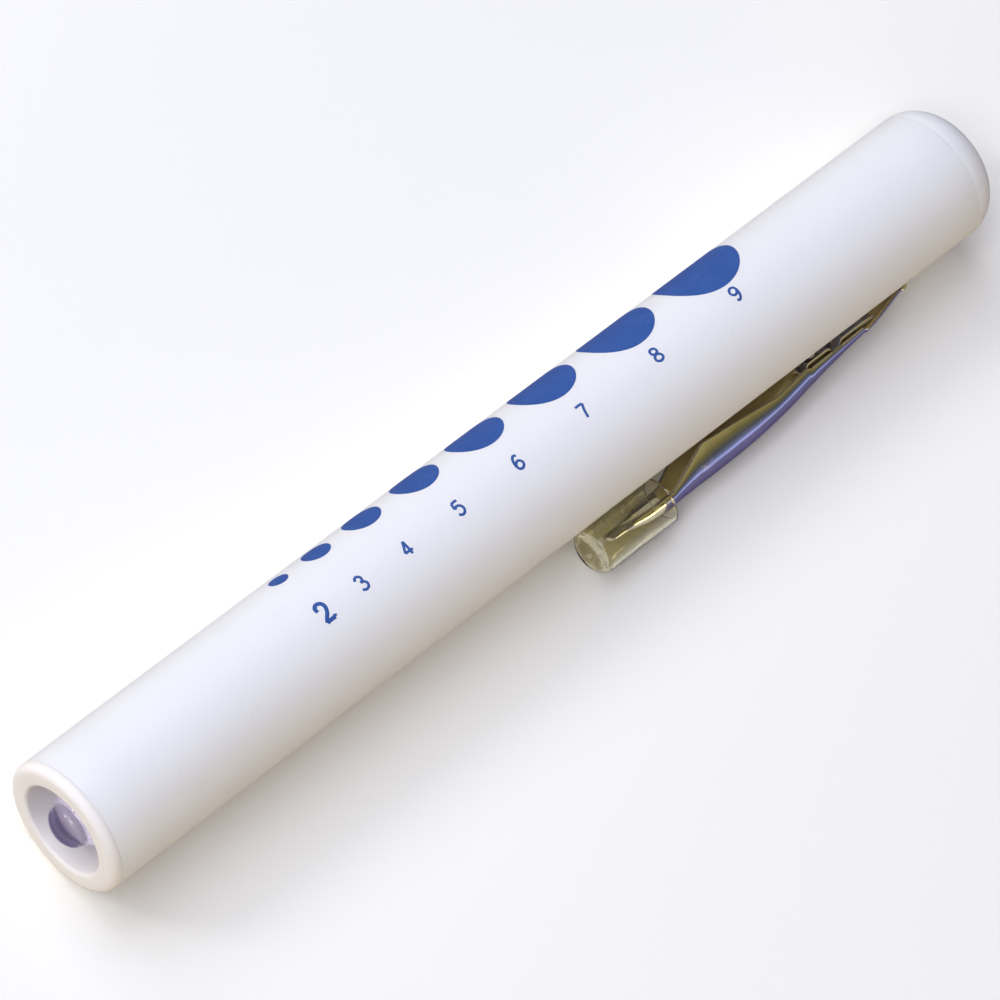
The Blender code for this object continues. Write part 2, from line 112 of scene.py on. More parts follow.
def add_camera():
    """A long-lens camera above the barrel, tilted towards the bulb end and rolled."""
    above = Vector((0, -math.sin(VIEW_LEAN), math.cos(VIEW_LEAN)))
    beside = ALONG.cross(above)
    forward = ALONG * math.sin(VIEW_TILT) - above * math.cos(VIEW_TILT)
    down_barrel = ALONG * math.cos(VIEW_TILT) + above * math.sin(VIEW_TILT)
    right = beside * math.cos(VIEW_ROLL) + down_barrel * math.sin(VIEW_ROLL)
    upward = right.cross(forward)
    turn = Matrix((right, upward, -forward)).transposed().to_4x4()
    eye = spot(AIM_ALONG, 0) - forward * VIEW_DISTANCE * MM
    data = bpy.data.cameras.new("camera")
    data.lens = LENS
    camera = bpy.data.objects.new("camera", data)
    camera.matrix_world = Matrix.Translation(eye) @ turn
    bpy.context.scene.collection.objects.link(camera)
    bpy.context.scene.camera = camera


add_camera()
print("camera %.0f mm from its aim" % VIEW_DISTANCE)

# %% [markdown]
# Materials are made before meshes, so that each mesh can take its finish as it is built. Several
# finishes share the same small effects. Each effect is a node group with named sockets, built
# once. This helper opens a group and gives it its sockets.

# %% A helper for shader node groups
def open_group(name, inputs, outputs):
    """A new shader group with float or colour sockets. Returns its tree, input and output."""
    tree = bpy.data.node_groups.new(name, "ShaderNodeTree")
    for label, kind, value in inputs:
        socket = tree.interface.new_socket(label, in_out="INPUT", socket_type="NodeSocket" + kind)
        socket.default_value = value
    for label, kind in outputs:
        tree.interface.new_socket(label, in_out="OUTPUT", socket_type="NodeSocket" + kind)
    return tree, tree.nodes.new("NodeGroupInput"), tree.nodes.new("NodeGroupOutput")


def maths(tree, operation, first, second=None):
    """A Math node fed by one or two numbers or sockets. Returns its output."""
    node = tree.nodes.new("ShaderNodeMath")
    node.operation = operation
    for socket, value in zip(node.inputs, (first, second)):
        if isinstance(value, (int, float)):
            socket.default_value = value
        elif value is not None:
            tree.links.new(value, socket)
    return node.outputs[0]


def noise(tree, vector, scale, detail=2.0, roughness=0.5):
    """A Noise Texture whose vector and scale may be sockets. Returns its value output."""
    node = tree.nodes.new("ShaderNodeTexNoise")
    node.inputs["Detail"].default_value = detail
    node.inputs["Roughness"].default_value = roughness
    if isinstance(scale, (int, float)):
        node.inputs["Scale"].default_value = scale
    else:
        tree.links.new(scale, node.inputs["Scale"])
    tree.links.new(vector, node.inputs["Vector"])
    return node.outputs["Fac"]


def stretched(tree, stretch=(1, 1, 1)):
    """Object coordinates, each axis multiplied so that a noise can run long one way."""
    place = tree.nodes.new("ShaderNodeTexCoord")
    mapping = tree.nodes.new("ShaderNodeMapping")
    mapping.inputs["Scale"].default_value = stretch
    tree.links.new(place.outputs["Object"], mapping.inputs["Vector"])
    return mapping.outputs["Vector"]


print("helpers ready")

# %% [markdown]
# Moulded plastic is never quite even. Its skin carries the fine texture of the mould, and its
# colour clouds a little where the melt flowed. The group *moulded skin* gives a height for a
# Bump node, and a cloud value to mix two near colours with. Both come from noise on Object
# coordinates, which are metres here, so a scale of 3000 means a third of a millimetre.

# %% Shader group: moulded skin
CLOUD_HEIGHT = 1.6


def make_moulded_skin():
    """Fine mould texture as a height, and slow clouds as a value."""
    inputs = [("Grain Scale", "Float", 3000.0), ("Cloud Scale", "Float", 90.0)]
    tree, start, end = open_group("moulded skin", inputs, [("Height", "Float"), ("Cloud", "Float")])
    place = stretched(tree)
    fine = noise(tree, place, start.outputs["Grain Scale"], detail=3.0, roughness=0.6)
    broad = noise(tree, place, start.outputs["Cloud Scale"])
    waves = maths(tree, "MULTIPLY", broad, CLOUD_HEIGHT)
    tree.links.new(maths(tree, "ADD", fine, waves), end.inputs["Height"])
    tree.links.new(broad, end.inputs["Cloud"])
    return tree


MOULDED_SKIN = make_moulded_skin()
print("group:", MOULDED_SKIN.name)

# %% [markdown]
# Metal that was rolled, drawn or wiped carries fine lines along one direction. The group *drawn
# lines* stretches a noise to make them, and returns a height and a mask. A third output, *tarnish*,
# is a slow cloud pushed to contrast, for metal that has dulled in patches.

# %% Shader group: drawn lines
DRAWN_STRETCH = (0.04, 1, 1)
TARNISH_CONTRAST = 2.6
TARNISH_FLOOR = 0.8


def make_drawn_lines():
    """Fine lines along X as a height and a mask, with slow tarnish clouds."""
    inputs = [("Line Scale", "Float", 4000.0), ("Tarnish Scale", "Float", 250.0)]
    outputs = [("Height", "Float"), ("Lines", "Float"), ("Tarnish", "Float")]
    tree, start, end = open_group("drawn lines", inputs, outputs)
    lines = noise(tree, stretched(tree, DRAWN_STRETCH), start.outputs["Line Scale"])
    clouds = noise(tree, stretched(tree), start.outputs["Tarnish Scale"], detail=4.0, roughness=0.6)
    sharp = maths(tree, "MULTIPLY", clouds, TARNISH_CONTRAST)
    sharp = maths(tree, "SUBTRACT", sharp, TARNISH_FLOOR)
    clamp = tree.nodes.new("ShaderNodeClamp")
    tree.links.new(sharp, clamp.inputs["Value"])
    tree.links.new(lines, end.inputs["Height"])
    tree.links.new(lines, end.inputs["Lines"])
    tree.links.new(clamp.outputs["Result"], end.inputs["Tarnish"])
    return tree


DRAWN_LINES = make_drawn_lines()
print("group:", DRAWN_LINES.name)

# %% [markdown]
# Anything carried in a pocket has hairline scratches and finger marks. The group *handling*
# stretches two noises in different directions and keeps only their thin crests as scratches.
# Its smudge output is meant for Roughness.

# %% Shader group: handling
SCRATCH_WAYS = ((0.1, 1.0, 1.3), (1.0, 0.12, 0.15))
SCRATCH_SCALE = 700.0
PATCH_SCALE = 260.0
PATCH_OVER = 0.58


def make_handling():
    """Hairline scratches as a mask, and finger smudges as a value."""
    inputs = [("Scratch Width", "Float", 0.012), ("Smudge Scale", "Float", 160.0)]
    outputs = [("Scratches", "Float"), ("Smudge", "Float")]
    tree, start, end = open_group("handling", inputs, outputs)
    found = []
    for stretch in SCRATCH_WAYS:
        crest = noise(tree, stretched(tree, stretch), SCRATCH_SCALE, detail=1.0)
        apart = maths(tree, "ABSOLUTE", maths(tree, "SUBTRACT", crest, 0.5))
        found.append(maths(tree, "LESS_THAN", apart, start.outputs["Scratch Width"]))
    patches = noise(tree, stretched(tree), PATCH_SCALE)
    kept = maths(tree, "GREATER_THAN", patches, PATCH_OVER)
    both = maths(tree, "MAXIMUM", found[0], found[1])
    tree.links.new(maths(tree, "MULTIPLY", both, kept), end.inputs["Scratches"])
    smudge = noise(tree, stretched(tree), start.outputs["Smudge Scale"], detail=3.0)
    tree.links.new(smudge, end.inputs["Smudge"])
    return tree


HANDLING = make_handling()
print("group:", HANDLING.name)

# %% [markdown]
# A material is then short: a Principled BSDF with its plain numbers set on its own sockets, and
# the groups wired to Base Color, Roughness and Bump. These helpers open a material, place a
# group in it, and mix two colours by a value.

# %% Helpers for materials
def open_finish(name, **numbers):
    """A new material with plain numbers set on its shader. Returns material, tree, shader."""
    made = bpy.data.materials.new(name)
    made.use_nodes = True
    shader = made.node_tree.nodes["Principled BSDF"]
    for label, value in numbers.items():
        shader.inputs[label.replace("_", " ")].default_value = value
    return made, made.node_tree, shader


def place_group(tree, group, **numbers):
    """A group node with its numbers set."""
    node = tree.nodes.new("ShaderNodeGroup")
    node.node_tree = group
    for label, value in numbers.items():
        node.inputs[label.replace("_", " ")].default_value = value
    return node


def blend_colours(tree, amount, first, second):
    """A colour mix led by a value. A colour may be three numbers or a socket."""
    mix = tree.nodes.new("ShaderNodeMix")
    mix.data_type = "RGBA"
    tree.links.new(amount, mix.inputs["Factor"])
    for socket, colour in zip((mix.inputs[6], mix.inputs[7]), (first, second)):
        if isinstance(colour, tuple):
            socket.default_value = (*colour, 1.0)
        else:
            tree.links.new(colour, socket)
    return mix.outputs[2]


def ease(tree, value, low, high):
    """A value from 0 to 1 spread over a new range."""
    node = tree.nodes.new("ShaderNodeMapRange")
    node.inputs["To Min"].default_value = low
    node.inputs["To Max"].default_value = high
    tree.links.new(value, node.inputs["Value"])
    return node.outputs["Result"]


def bump(tree, shader, height, strength, distance):
    """A Bump node on the shader's normal."""
    node = tree.nodes.new("ShaderNodeBump")
    node.inputs["Strength"].default_value = strength
    node.inputs["Distance"].default_value = distance
    tree.links.new(height, node.inputs["Height"])
    tree.links.new(node.outputs["Normal"], shader.inputs["Normal"])


print("material helpers ready")

# %% [markdown]
# The barrel is white polystyrene with a cool tint, satin rather than glossy. The nose is given a
# creamier, pinker white than the barrel and the rear plug, from the same builder with other
# colours. A little subsurface scattering softens the edge of the shade, which is what tells
# plastic from paint.

# %% Materials: moulded plastic
SCUFF_SHARE = 0.12
SCUFF_DARKNESS = 0.8
SMUDGE_SPREAD = 0.07


def moulded_plastic(name, colour, shade, roughness, grain):
    """White moulded plastic: clouded colour, mould grain and handling marks."""
    made, tree, shader = open_finish(name, Specular_IOR_Level=0.35, Subsurface_Weight=0.15,
                                     Subsurface_Scale=0.0012)
    shader.inputs["Subsurface Radius"].default_value = (1.0, 0.9, 0.8)
    skin = place_group(tree, MOULDED_SKIN, Grain_Scale=grain, Cloud_Scale=70.0)
    marks = place_group(tree, HANDLING, Scratch_Width=0.006)
    cloud = blend_colours(tree, skin.outputs["Cloud"], colour, shade)
    faint = maths(tree, "MULTIPLY", marks.outputs["Scratches"], SCUFF_SHARE)
    scuffed = blend_colours(tree, faint, cloud, tuple(part * SCUFF_DARKNESS for part in shade))
    tree.links.new(scuffed, shader.inputs["Base Color"])
    rubbed = ease(tree, marks.outputs["Smudge"], roughness - SMUDGE_SPREAD, roughness + SMUDGE_SPREAD)
    tree.links.new(rubbed, shader.inputs["Roughness"])
    bump(tree, shader, skin.outputs["Height"], strength=0.12, distance=0.02 * MM)
    return made


WHITE = moulded_plastic("white_plastic", (0.81, 0.815, 0.86), (0.785, 0.79, 0.84),
                        roughness=0.42, grain=3500.0)
NOSE_WHITE = moulded_plastic("nose_plastic", (0.87, 0.84, 0.85), (0.84, 0.80, 0.81),
                             roughness=0.48, grain=2500.0)
print("materials:", WHITE.name, NOSE_WHITE.name)

# %% [markdown]
# The gauge is pad-printed: one thin coat of blue ink. Such ink shows tiny pinholes and a coat
# that is a shade lighter where it is thin. Noise at a fine scale, kept only at its peaks, gives
# the pinholes.

# %% Material: printed ink
INK_THICK = (0.020, 0.075, 0.30)
INK_THIN = (0.036, 0.105, 0.37)
INK_PINHOLE = (0.30, 0.40, 0.70)
PINHOLE_SCALE = 6000.0
PINHOLE_OVER = 0.74
PINHOLE_SHARE = 0.5


def printed_ink():
    """Blue pad-printed ink with thin patches and pinholes."""
    made, tree, shader = open_finish("gauge_ink", Roughness=0.5, Specular_IOR_Level=0.3)
    skin = place_group(tree, MOULDED_SKIN, Grain_Scale=9000.0, Cloud_Scale=500.0)
    coat = blend_colours(tree, skin.outputs["Cloud"], INK_THICK, INK_THIN)
    grains = noise(tree, stretched(tree), PINHOLE_SCALE, detail=1.0)
    holes = maths(tree, "MULTIPLY", maths(tree, "GREATER_THAN", grains, PINHOLE_OVER), PINHOLE_SHARE)
    tree.links.new(blend_colours(tree, holes, coat, INK_PINHOLE), shader.inputs["Base Color"])
    tree.links.new(ease(tree, grains, low=0.42, high=0.58), shader.inputs["Roughness"])
    bump(tree, shader, skin.outputs["Height"], strength=0.1, distance=0.01 * MM)
    return made


INK = printed_ink()
print("material:", INK.name)

# %% [markdown]
# Glass and clear vinyl let light through, so their shader keeps a plain Transmission Weight and
# IOR. Their variation is in Roughness, tint and Bump. Bulb glass is drawn and fire-polished: it
# has very faint streaks. Its violet tint is a painted reflection, and a trace of violet Emission
# is a painted glow: both stand in for the violet reflections seen in the lens. The vinyl's pale
# yellow tint stands in for the warm surface seen through the sleeve, and its outside is finely
# scuffed.

# %% Materials: bulb glass and clear vinyl
# The violet tints are a painted reflection and the violet glow is a painted glow: they stand in for the
# violet reflections seen in the lens.
GLASS_TINTS = ((0.78, 0.74, 0.88), (0.72, 0.68, 0.84))
GLASS_PAINTED_GLOW = (0.60, 0.54, 0.80)
# The vinyl's yellow tints stand in for the warm surface seen through the sleeve.
VINYL_TINTS = ((0.98, 0.96, 0.85), (0.94, 0.92, 0.76))
SCUFF_HAZE = 0.25


def bulb_glass():
    """Clear lead glass with faint drawing streaks, a painted violet tint and a faint painted violet glow.
    """
    made, tree, shader = open_finish("bulb_glass", Transmission_Weight=1.0, IOR=1.52,
                                     Emission_Strength=0.035)
    shader.inputs["Emission Color"].default_value = (*GLASS_PAINTED_GLOW, 1.0)
    lines = place_group(tree, DRAWN_LINES, Line_Scale=900.0, Tarnish_Scale=120.0)
    tint = blend_colours(tree, lines.outputs["Tarnish"], *GLASS_TINTS)
    tree.links.new(tint, shader.inputs["Base Color"])
    tree.links.new(ease(tree, lines.outputs["Lines"], low=0.0, high=0.02), shader.inputs["Roughness"])
    bump(tree, shader, lines.outputs["Height"], strength=0.01, distance=0.01 * MM)
    return made


def clear_vinyl():
    """Clear vinyl with a pale yellow tint that stands in for the warm surface seen through it, finely
    scuffed.
    """
    made, tree, shader = open_finish("clear_vinyl", Transmission_Weight=1.0, IOR=1.45)
    skin = place_group(tree, MOULDED_SKIN, Grain_Scale=1500.0, Cloud_Scale=260.0)
    marks = place_group(tree, HANDLING, Scratch_Width=0.02)
    tint = blend_colours(tree, skin.outputs["Cloud"], *VINYL_TINTS)
    tree.links.new(tint, shader.inputs["Base Color"])
    scuffs = maths(tree, "MULTIPLY", marks.outputs["Scratches"], SCUFF_HAZE)
    haze = maths(tree, "ADD", ease(tree, marks.outputs["Smudge"], low=0.02, high=0.12), scuffs)
    tree.links.new(haze, shader.inputs["Roughness"])
    bump(tree, shader, skin.outputs["Height"], strength=0.15, distance=0.03 * MM)
    return made


GLASS = bulb_glass()
VINYL = clear_vinyl()
print("materials:", GLASS.name, VINYL.name)

# %% [markdown]
# All the metals share one builder. What differs is the colour, how dull it is, and how strong
# the drawn lines are: bright chrome on the clip, plated nickel on the bulb base, brass on the
# strip, zinc on the cells, plain spring steel, and tungsten. The clip is a folded sheet. Its mesh
# marks the inner face with an attribute, *inside*, and the builder can read it to paint a gold
# reflection in shade there: a painted warm reflection, with a low metallic value so that the
# painted colour shows.

# %% Materials: metals
SCRATCH_WEAR = 0.05
GLOSS_SPREAD = 0.4
PAINTED_INSIDE_METALLIC = 0.2


def metal(name, bright, dull, roughness, lines, inside=None):
    """A metal whose tint and gloss change along drawn lines and in tarnished patches, with a painted
    reflection on a marked inner face.
    """
    made, tree, shader = open_finish(name, Metallic=1.0)
    drawn = place_group(tree, DRAWN_LINES, Line_Scale=5000.0)
    marks = place_group(tree, HANDLING, Scratch_Width=0.01)
    tint = blend_colours(tree, drawn.outputs["Tarnish"], bright, dull)
    # On the clip's inner face the tint is a painted gold reflection in shade, and the metallic value drops
    # so that it shows.
    if inside:
        within = tree.nodes.new("ShaderNodeAttribute")
        within.attribute_name = "inside"
        tint = blend_colours(tree, within.outputs["Fac"], tint, inside)
        polish = ease(tree, within.outputs["Fac"], low=1.0, high=PAINTED_INSIDE_METALLIC)
        tree.links.new(polish, shader.inputs["Metallic"])
    tree.links.new(tint, shader.inputs["Base Color"])
    worn = maths(tree, "MULTIPLY", marks.outputs["Scratches"], SCRATCH_WEAR)
    gloss = ease(tree, drawn.outputs["Lines"], roughness * (1 - GLOSS_SPREAD),
                 roughness * (1 + GLOSS_SPREAD))
    tree.links.new(maths(tree, "ADD", gloss, worn), shader.inputs["Roughness"])
    bump(tree, shader, drawn.outputs["Height"], strength=lines, distance=0.01 * MM)
    return made


# The inside colour of the chrome is a painted gold reflection in shade.
CHROME = metal("clip_chrome", (0.74, 0.73, 0.78), (0.66, 0.65, 0.70),
               roughness=0.10, lines=0.12, inside=(0.52, 0.41, 0.17))
NICKEL = metal("nickel_plate", (0.66, 0.63, 0.58), (0.50, 0.47, 0.42), roughness=0.28, lines=0.25)
BRASS = metal("brass", (0.74, 0.53, 0.24), (0.48, 0.32, 0.14), roughness=0.32, lines=0.35)
ZINC = metal("zinc_can", (0.50, 0.52, 0.55), (0.36, 0.38, 0.41), roughness=0.42, lines=0.5)
STEEL = metal("spring_steel", (0.46, 0.45, 0.44), (0.30, 0.28, 0.26), roughness=0.30, lines=0.3)
TUNGSTEN = metal("tungsten", (0.34, 0.33, 0.32), (0.20, 0.19, 0.19), roughness=0.45, lines=0.2)
print("metals made")

# %% [markdown]
# The hidden pieces still need real finishes, because someone may take the penlight apart: the
# black bead under the bulb, the red fibre washer, the card washers and the black mix in the
# cells. They are all dull and grainy, so one builder serves.

# %% Materials: dull grainy stuffs
SPECK_RANGE = (-0.6, 1.6)
DULL_SPREAD = 0.1


def grainy(name, colour, speck, roughness, scale, depth):
    """A dull stuff of two mixed colours with a grain, its depth in millimetres."""
    made, tree, shader = open_finish(name, Specular_IOR_Level=0.2)
    skin = place_group(tree, MOULDED_SKIN, Grain_Scale=scale, Cloud_Scale=scale / 8)
    mixed = ease(tree, skin.outputs["Cloud"], *SPECK_RANGE)
    tree.links.new(blend_colours(tree, mixed, colour, speck), shader.inputs["Base Color"])
    dulled = ease(tree, skin.outputs["Cloud"], roughness - DULL_SPREAD, roughness + DULL_SPREAD)
    tree.links.new(dulled, shader.inputs["Roughness"])
    bump(tree, shader, skin.outputs["Height"], strength=0.4, distance=depth * MM)
    return made


BEAD = grainy("black_insulator", (0.020, 0.020, 0.022), (0.045, 0.04, 0.04),
              roughness=0.35, scale=2500.0, depth=0.02)
FIBRE = grainy("fibre", (0.36, 0.09, 0.05), (0.24, 0.05, 0.03),
               roughness=0.8, scale=6000.0, depth=0.04)
CARD = grainy("card", (0.52, 0.43, 0.30), (0.40, 0.32, 0.21),
              roughness=0.85, scale=7000.0, depth=0.04)
CELL_MIX = grainy("cell_mix", (0.030, 0.030, 0.032), (0.012, 0.012, 0.012),
                  roughness=0.9, scale=3000.0, depth=0.06)
print("grainy stuffs made")

# %% [markdown]
# Each slot name in the record now has its finish. CAD nodes that stay visible get it by
# assignment to their material slot. Nodes that a finer piece replaces are named later.

# %% Give the CAD nodes their finishes
FINISHES = {
    "barrel_plastic": WHITE, "nose_plastic": NOSE_WHITE, "gauge_ink": INK, "bulb_glass": GLASS,
    "nickel_plate": NICKEL, "tungsten": TUNGSTEN, "black_insulator": BEAD, "brass": BRASS,
    "fibre": FIBRE, "cell_can": ZINC, "card": CARD, "cell_mix": CELL_MIX, "spring_steel": STEEL,
    "clip_chrome": CHROME, "clear_vinyl": VINYL,
}
NODE_SLOTS = {
    "bulb_stem": "bulb_glass", "bulb_base": "nickel_plate", "bulb_insulator": "black_insulator",
    "bulb_contact": "nickel_plate", "lead_wire_a": "nickel_plate", "lead_wire_b": "nickel_plate",
    "bulb_collar": "brass", "contact_strip": "brass", "fibre_washer": "fibre",
}
for cell in ("front_cell", "rear_cell"):
    NODE_SLOTS.update({
        cell + "_can": "cell_can", cell + "_button": "nickel_plate", cell + "_washer": "card",
        cell + "_core": "cell_mix", cell + "_base": "nickel_plate",
    })
for node, slot in NODE_SLOTS.items():
    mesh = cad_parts[node].data
    mesh.materials.clear()
    mesh.materials.append(FINISHES[slot])
print("finished CAD nodes:", len(NODE_SLOTS))

# %% [markdown]
# Now the meshes. Most pieces are turned: a profile is spun about the axis. A profile here is a
# list of (radius, along) points, and this helper turns it with many segments, so that no facet
# shows. Points on the axis become one vertex, and the profile closes on itself otherwise, so
# every turned piece is a closed solid. Recalculating the normals makes them point outwards.

# %% A lathe for turned pieces
TURN_STEPS = 160
SMALL_STEPS = 96


def finish_piece(name, shape, slot, body, sharp=38):
    """Turn a bmesh into a shown piece with its finish, riding on a body."""
    bmesh.ops.remove_doubles(shape, verts=shape.verts[:], dist=1e-7)
    bmesh.ops.recalc_face_normals(shape, faces=shape.faces[:])
    mesh = bpy.data.meshes.new(name)
    shape.to_mesh(mesh)
    shape.free()
    return show_piece(name, mesh, slot, body, sharp)


def show_piece(name, mesh, slot, body, sharp=38):
    """Show a mesh as a piece with its finish, riding on a body."""
    mesh.materials.clear()
    mesh.materials.append(FINISHES[slot])
    mesh.shade_smooth()
    mesh.set_sharp_from_angle(angle=math.radians(sharp))
    piece = bpy.data.objects.new(name, mesh)
    bpy.context.scene.collection.objects.link(piece)
    if body:
        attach(piece, body)
    print("%s: %d faces" % (name, len(mesh.polygons)))
    return piece


def turned_shape(profile, height=0.0, steps=TURN_STEPS):
    """Spin a (radius, along) profile about the axis, or about a line at a height."""
    shape = bmesh.new()
    rings = []
    for radius, along in profile:
        if radius == 0:
            rings.append([shape.verts.new(spot(along, height))])
            continue
        angles = [2 * math.pi * i / steps for i in range(steps)]
        rings.append([shape.verts.new(spot(along, height + radius * math.cos(a), radius * math.sin(a)))
                      for a in angles])
    pairs = list(zip(rings, rings[1:]))
    if profile[0][0] > 0:
        pairs.append((rings[-1], rings[0]))
    for ring, other in pairs:
        for i in range(steps):
            corners = [ring[i % len(ring)], ring[(i + 1) % len(ring)],
                       other[(i + 1) % len(other)], other[i % len(other)]]
            shape.faces.new(list(dict.fromkeys(corners)))
    return shape


def arc(centre, radius, start, end, steps):
    """Points of an arc in a profile, its angles in degrees."""
    angles = [math.radians(start + (end - start) * i / steps) for i in range(steps + 1)]
    return [(centre[0] + radius * math.cos(a), centre[1] + radius * math.sin(a)) for a in angles]


print("lathe ready")

# %% [markdown]
# Openings in a wall are cut with Boolean modifiers, as in the CAD. The exact solver is slower than
# the fast one, but it is safe where faces touch. The result is taken from the evaluated object as
# plain mesh, and the objects that were only needed for the cut are removed.

# %% Tools that cut openings
def box_shape(low, high):
    """A box between two corners given as (along, height, across)."""
    shape = bmesh.new()
    ends = [[spot(along, height, across) for height, across in
             ((low[1], low[2]), (high[1], low[2]), (high[1], high[2]), (low[1], high[2]))]
            for along in (low[0], high[0])]
    rings = [[shape.verts.new(point) for point in end] for end in ends]
    shape.faces.new(rings[0])
    shape.faces.new(rings[1][::-1])
    for i in range(4):
        j = (i + 1) % 4
        shape.faces.new((rings[0][i], rings[0][j], rings[1][j], rings[1][i]))
    bmesh.ops.recalc_face_normals(shape, faces=shape.faces[:])
    return shape


def cut(shape, cutters):
    """Cut box shapes out of a closed shape and return the result as plain mesh."""
    scene = bpy.context.scene.collection
    made = []
    for part in [shape] + cutters:
        bmesh.ops.recalc_face_normals(part, faces=part.faces[:])
        mesh = bpy.data.meshes.new("part")
        part.to_mesh(mesh)
        part.free()
        made.append(bpy.data.objects.new("part", mesh))
        scene.objects.link(made[-1])
    for cutter in made[1:]:
        modifier = made[0].modifiers.new("cut", "BOOLEAN")
        modifier.operation = "DIFFERENCE"
        modifier.solver = "EXACT"
        modifier.object = cutter
    bpy.context.view_layer.update()
    evaluated = made[0].evaluated_get(bpy.context.evaluated_depsgraph_get())
    result = bpy.data.meshes.new_from_object(evaluated)
    for item in made:
        bpy.data.objects.remove(item, do_unlink=True)
    return result


print("cutting tools ready")

# %% [markdown]
# The barrel is a plain tube, but its ends are slightly rounded where it meets the nose ring and
# the rear plug. Those two small rounds are what makes the seam read as a seam. Two openings on
# the clip side let the clip's root and the switch's pip through.

# %% Barrel
BORE_R = 5.55
SEAM_GAP = 0.008
SEAM_ROUND = 0.03
NOSE_SEAM = 1.5
PLUG_SEAM = 112.9
SEAM_STEPS = 4
BARREL_BANDS = 30
BARREL_STEPS = 192
SLOT_ALONG = (104.0, 105.7)
SLOT_WIDTH = 3.2
WINDOW_ALONG = (91.3, 93.5)
WINDOW_WIDTH = 2.2
CUT_PAST = 1.0


def wall_cutter(ends, width):
    """A box that cuts through the wall on the clip side."""
    half = width / 2
    return box_shape((ends[0], BORE_R - CUT_PAST, -half), (ends[1], BARREL_R + CUT_PAST, half))


def make_barrel():
    """White tube with soft ends, the clip's slot and the switch window."""
    start, end = NOSE_SEAM + SEAM_GAP, PLUG_SEAM - SEAM_GAP
    inner = BARREL_R - SEAM_ROUND
    profile = arc((inner, start + SEAM_ROUND), SEAM_ROUND, -90, 0, SEAM_STEPS)
    profile += [(BARREL_R, start + (end - start) * i / BARREL_BANDS) for i in range(1, BARREL_BANDS)]
    profile += arc((inner, end - SEAM_ROUND), SEAM_ROUND, 0, 90, SEAM_STEPS)
    profile += [(BORE_R, end), (BORE_R, start)]
    cutters = [wall_cutter(SLOT_ALONG, SLOT_WIDTH), wall_cutter(WINDOW_ALONG, WINDOW_WIDTH)]
    mesh = cut(turned_shape(profile, steps=BARREL_STEPS), cutters)
    piece = show_piece("barrel_tube", mesh, "barrel_plastic", "housing", sharp=30)
    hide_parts("barrel")


make_barrel()

# %% [markdown]
# The nose ring closes the front. Its lip is a generous round that runs into a smaller round at
# the edge of the hole, and the deep recess round the bulb is what keeps stray light off the
# patient. The same lathe makes it. The rear plug is a dome with a nearly flat middle.

# %% Nose ring and rear plug
RIM = 0.5
LIP_ROUND = 0.8
HOLE_R = 4.65
HOLE_ROUND = 0.35
HOLE_MIDDLE = 2.0
RECESS = 4.2
RECESS_ROUND = 0.25
BULB_HOLE_BREAK = 0.1
BULKHEAD_END = 5.4
BULB_HOLE_R = 3.15
SPIGOT_R = 5.25
SPIGOT_END = 9.6
PLUG_FLAT = 3.3
PLUG_RINGS = 6
PLUG_ROUND = 3.5
PLUG_FLOOR = 113.2
PLUG_SPIGOT = 108.2
POCKET_R = 4.35


def make_nose_ring():
    """Rounded lip, recess and bulkhead of the nose."""
    seam = NOSE_SEAM - SEAM_GAP / 2
    profile = [(SPIGOT_R, SPIGOT_END), (SPIGOT_R, seam), (BARREL_R - SEAM_ROUND, seam)]
    profile += arc((BARREL_R - SEAM_ROUND, seam - SEAM_ROUND), SEAM_ROUND, 90, 0, SEAM_STEPS)[1:]
    profile += arc((BARREL_R - LIP_ROUND, RIM + LIP_ROUND), LIP_ROUND, 0, -90, steps=24)
    profile += arc((HOLE_R + HOLE_ROUND, RIM + HOLE_ROUND), HOLE_ROUND, -90, -180, steps=10)
    corner = (HOLE_R - RECESS_ROUND, RECESS - RECESS_ROUND)
    profile += [(HOLE_R, HOLE_MIDDLE), (HOLE_R, corner[1])]
    profile += arc(corner, RECESS_ROUND, 0, 90, steps=5)[1:]
    profile += [(BULB_HOLE_R + BULB_HOLE_BREAK, RECESS), (BULB_HOLE_R, RECESS + BULB_HOLE_BREAK)]
    profile += [(BULB_HOLE_R, BULKHEAD_END), (HOLE_R, BULKHEAD_END), (HOLE_R, SPIGOT_END)]
    piece = finish_piece("nose", turned_shape(profile), "nose_plastic", "housing")
    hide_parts("nose_ring")


def make_rear_plug():
    """Domed end cap and its hollow spigot."""
    seam = PLUG_SEAM + SEAM_GAP / 2
    profile = [(0.0, LENGTH)] + [(PLUG_FLAT * i / PLUG_RINGS, LENGTH) for i in range(1, PLUG_RINGS)]
    profile += arc((BARREL_R - PLUG_ROUND, LENGTH - PLUG_ROUND), PLUG_ROUND, 90, 0, steps=28)
    profile += arc((BARREL_R - SEAM_ROUND, seam + SEAM_ROUND), SEAM_ROUND, 0, -90, SEAM_STEPS)[1:]
    profile += [(SPIGOT_R, seam), (SPIGOT_R, PLUG_SPIGOT), (POCKET_R, PLUG_SPIGOT)]
    profile += [(POCKET_R, PLUG_FLOOR), (0.0, PLUG_FLOOR)]
    piece = finish_piece("end_cap", turned_shape(profile), "barrel_plastic", "housing")
    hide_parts("rear_plug")


make_nose_ring()
make_rear_plug()

# %% [markdown]
# The bulb is the small lens-end kind: the tip of its envelope is a solid glass bead that gathers
# the light into a spot. Glass renders well only if it is a closed wall of true thickness, so the
# profile runs back along the inside and returns along the outside. The bead is thick, and its
# inner face is nearly flat, which makes it a real lens.

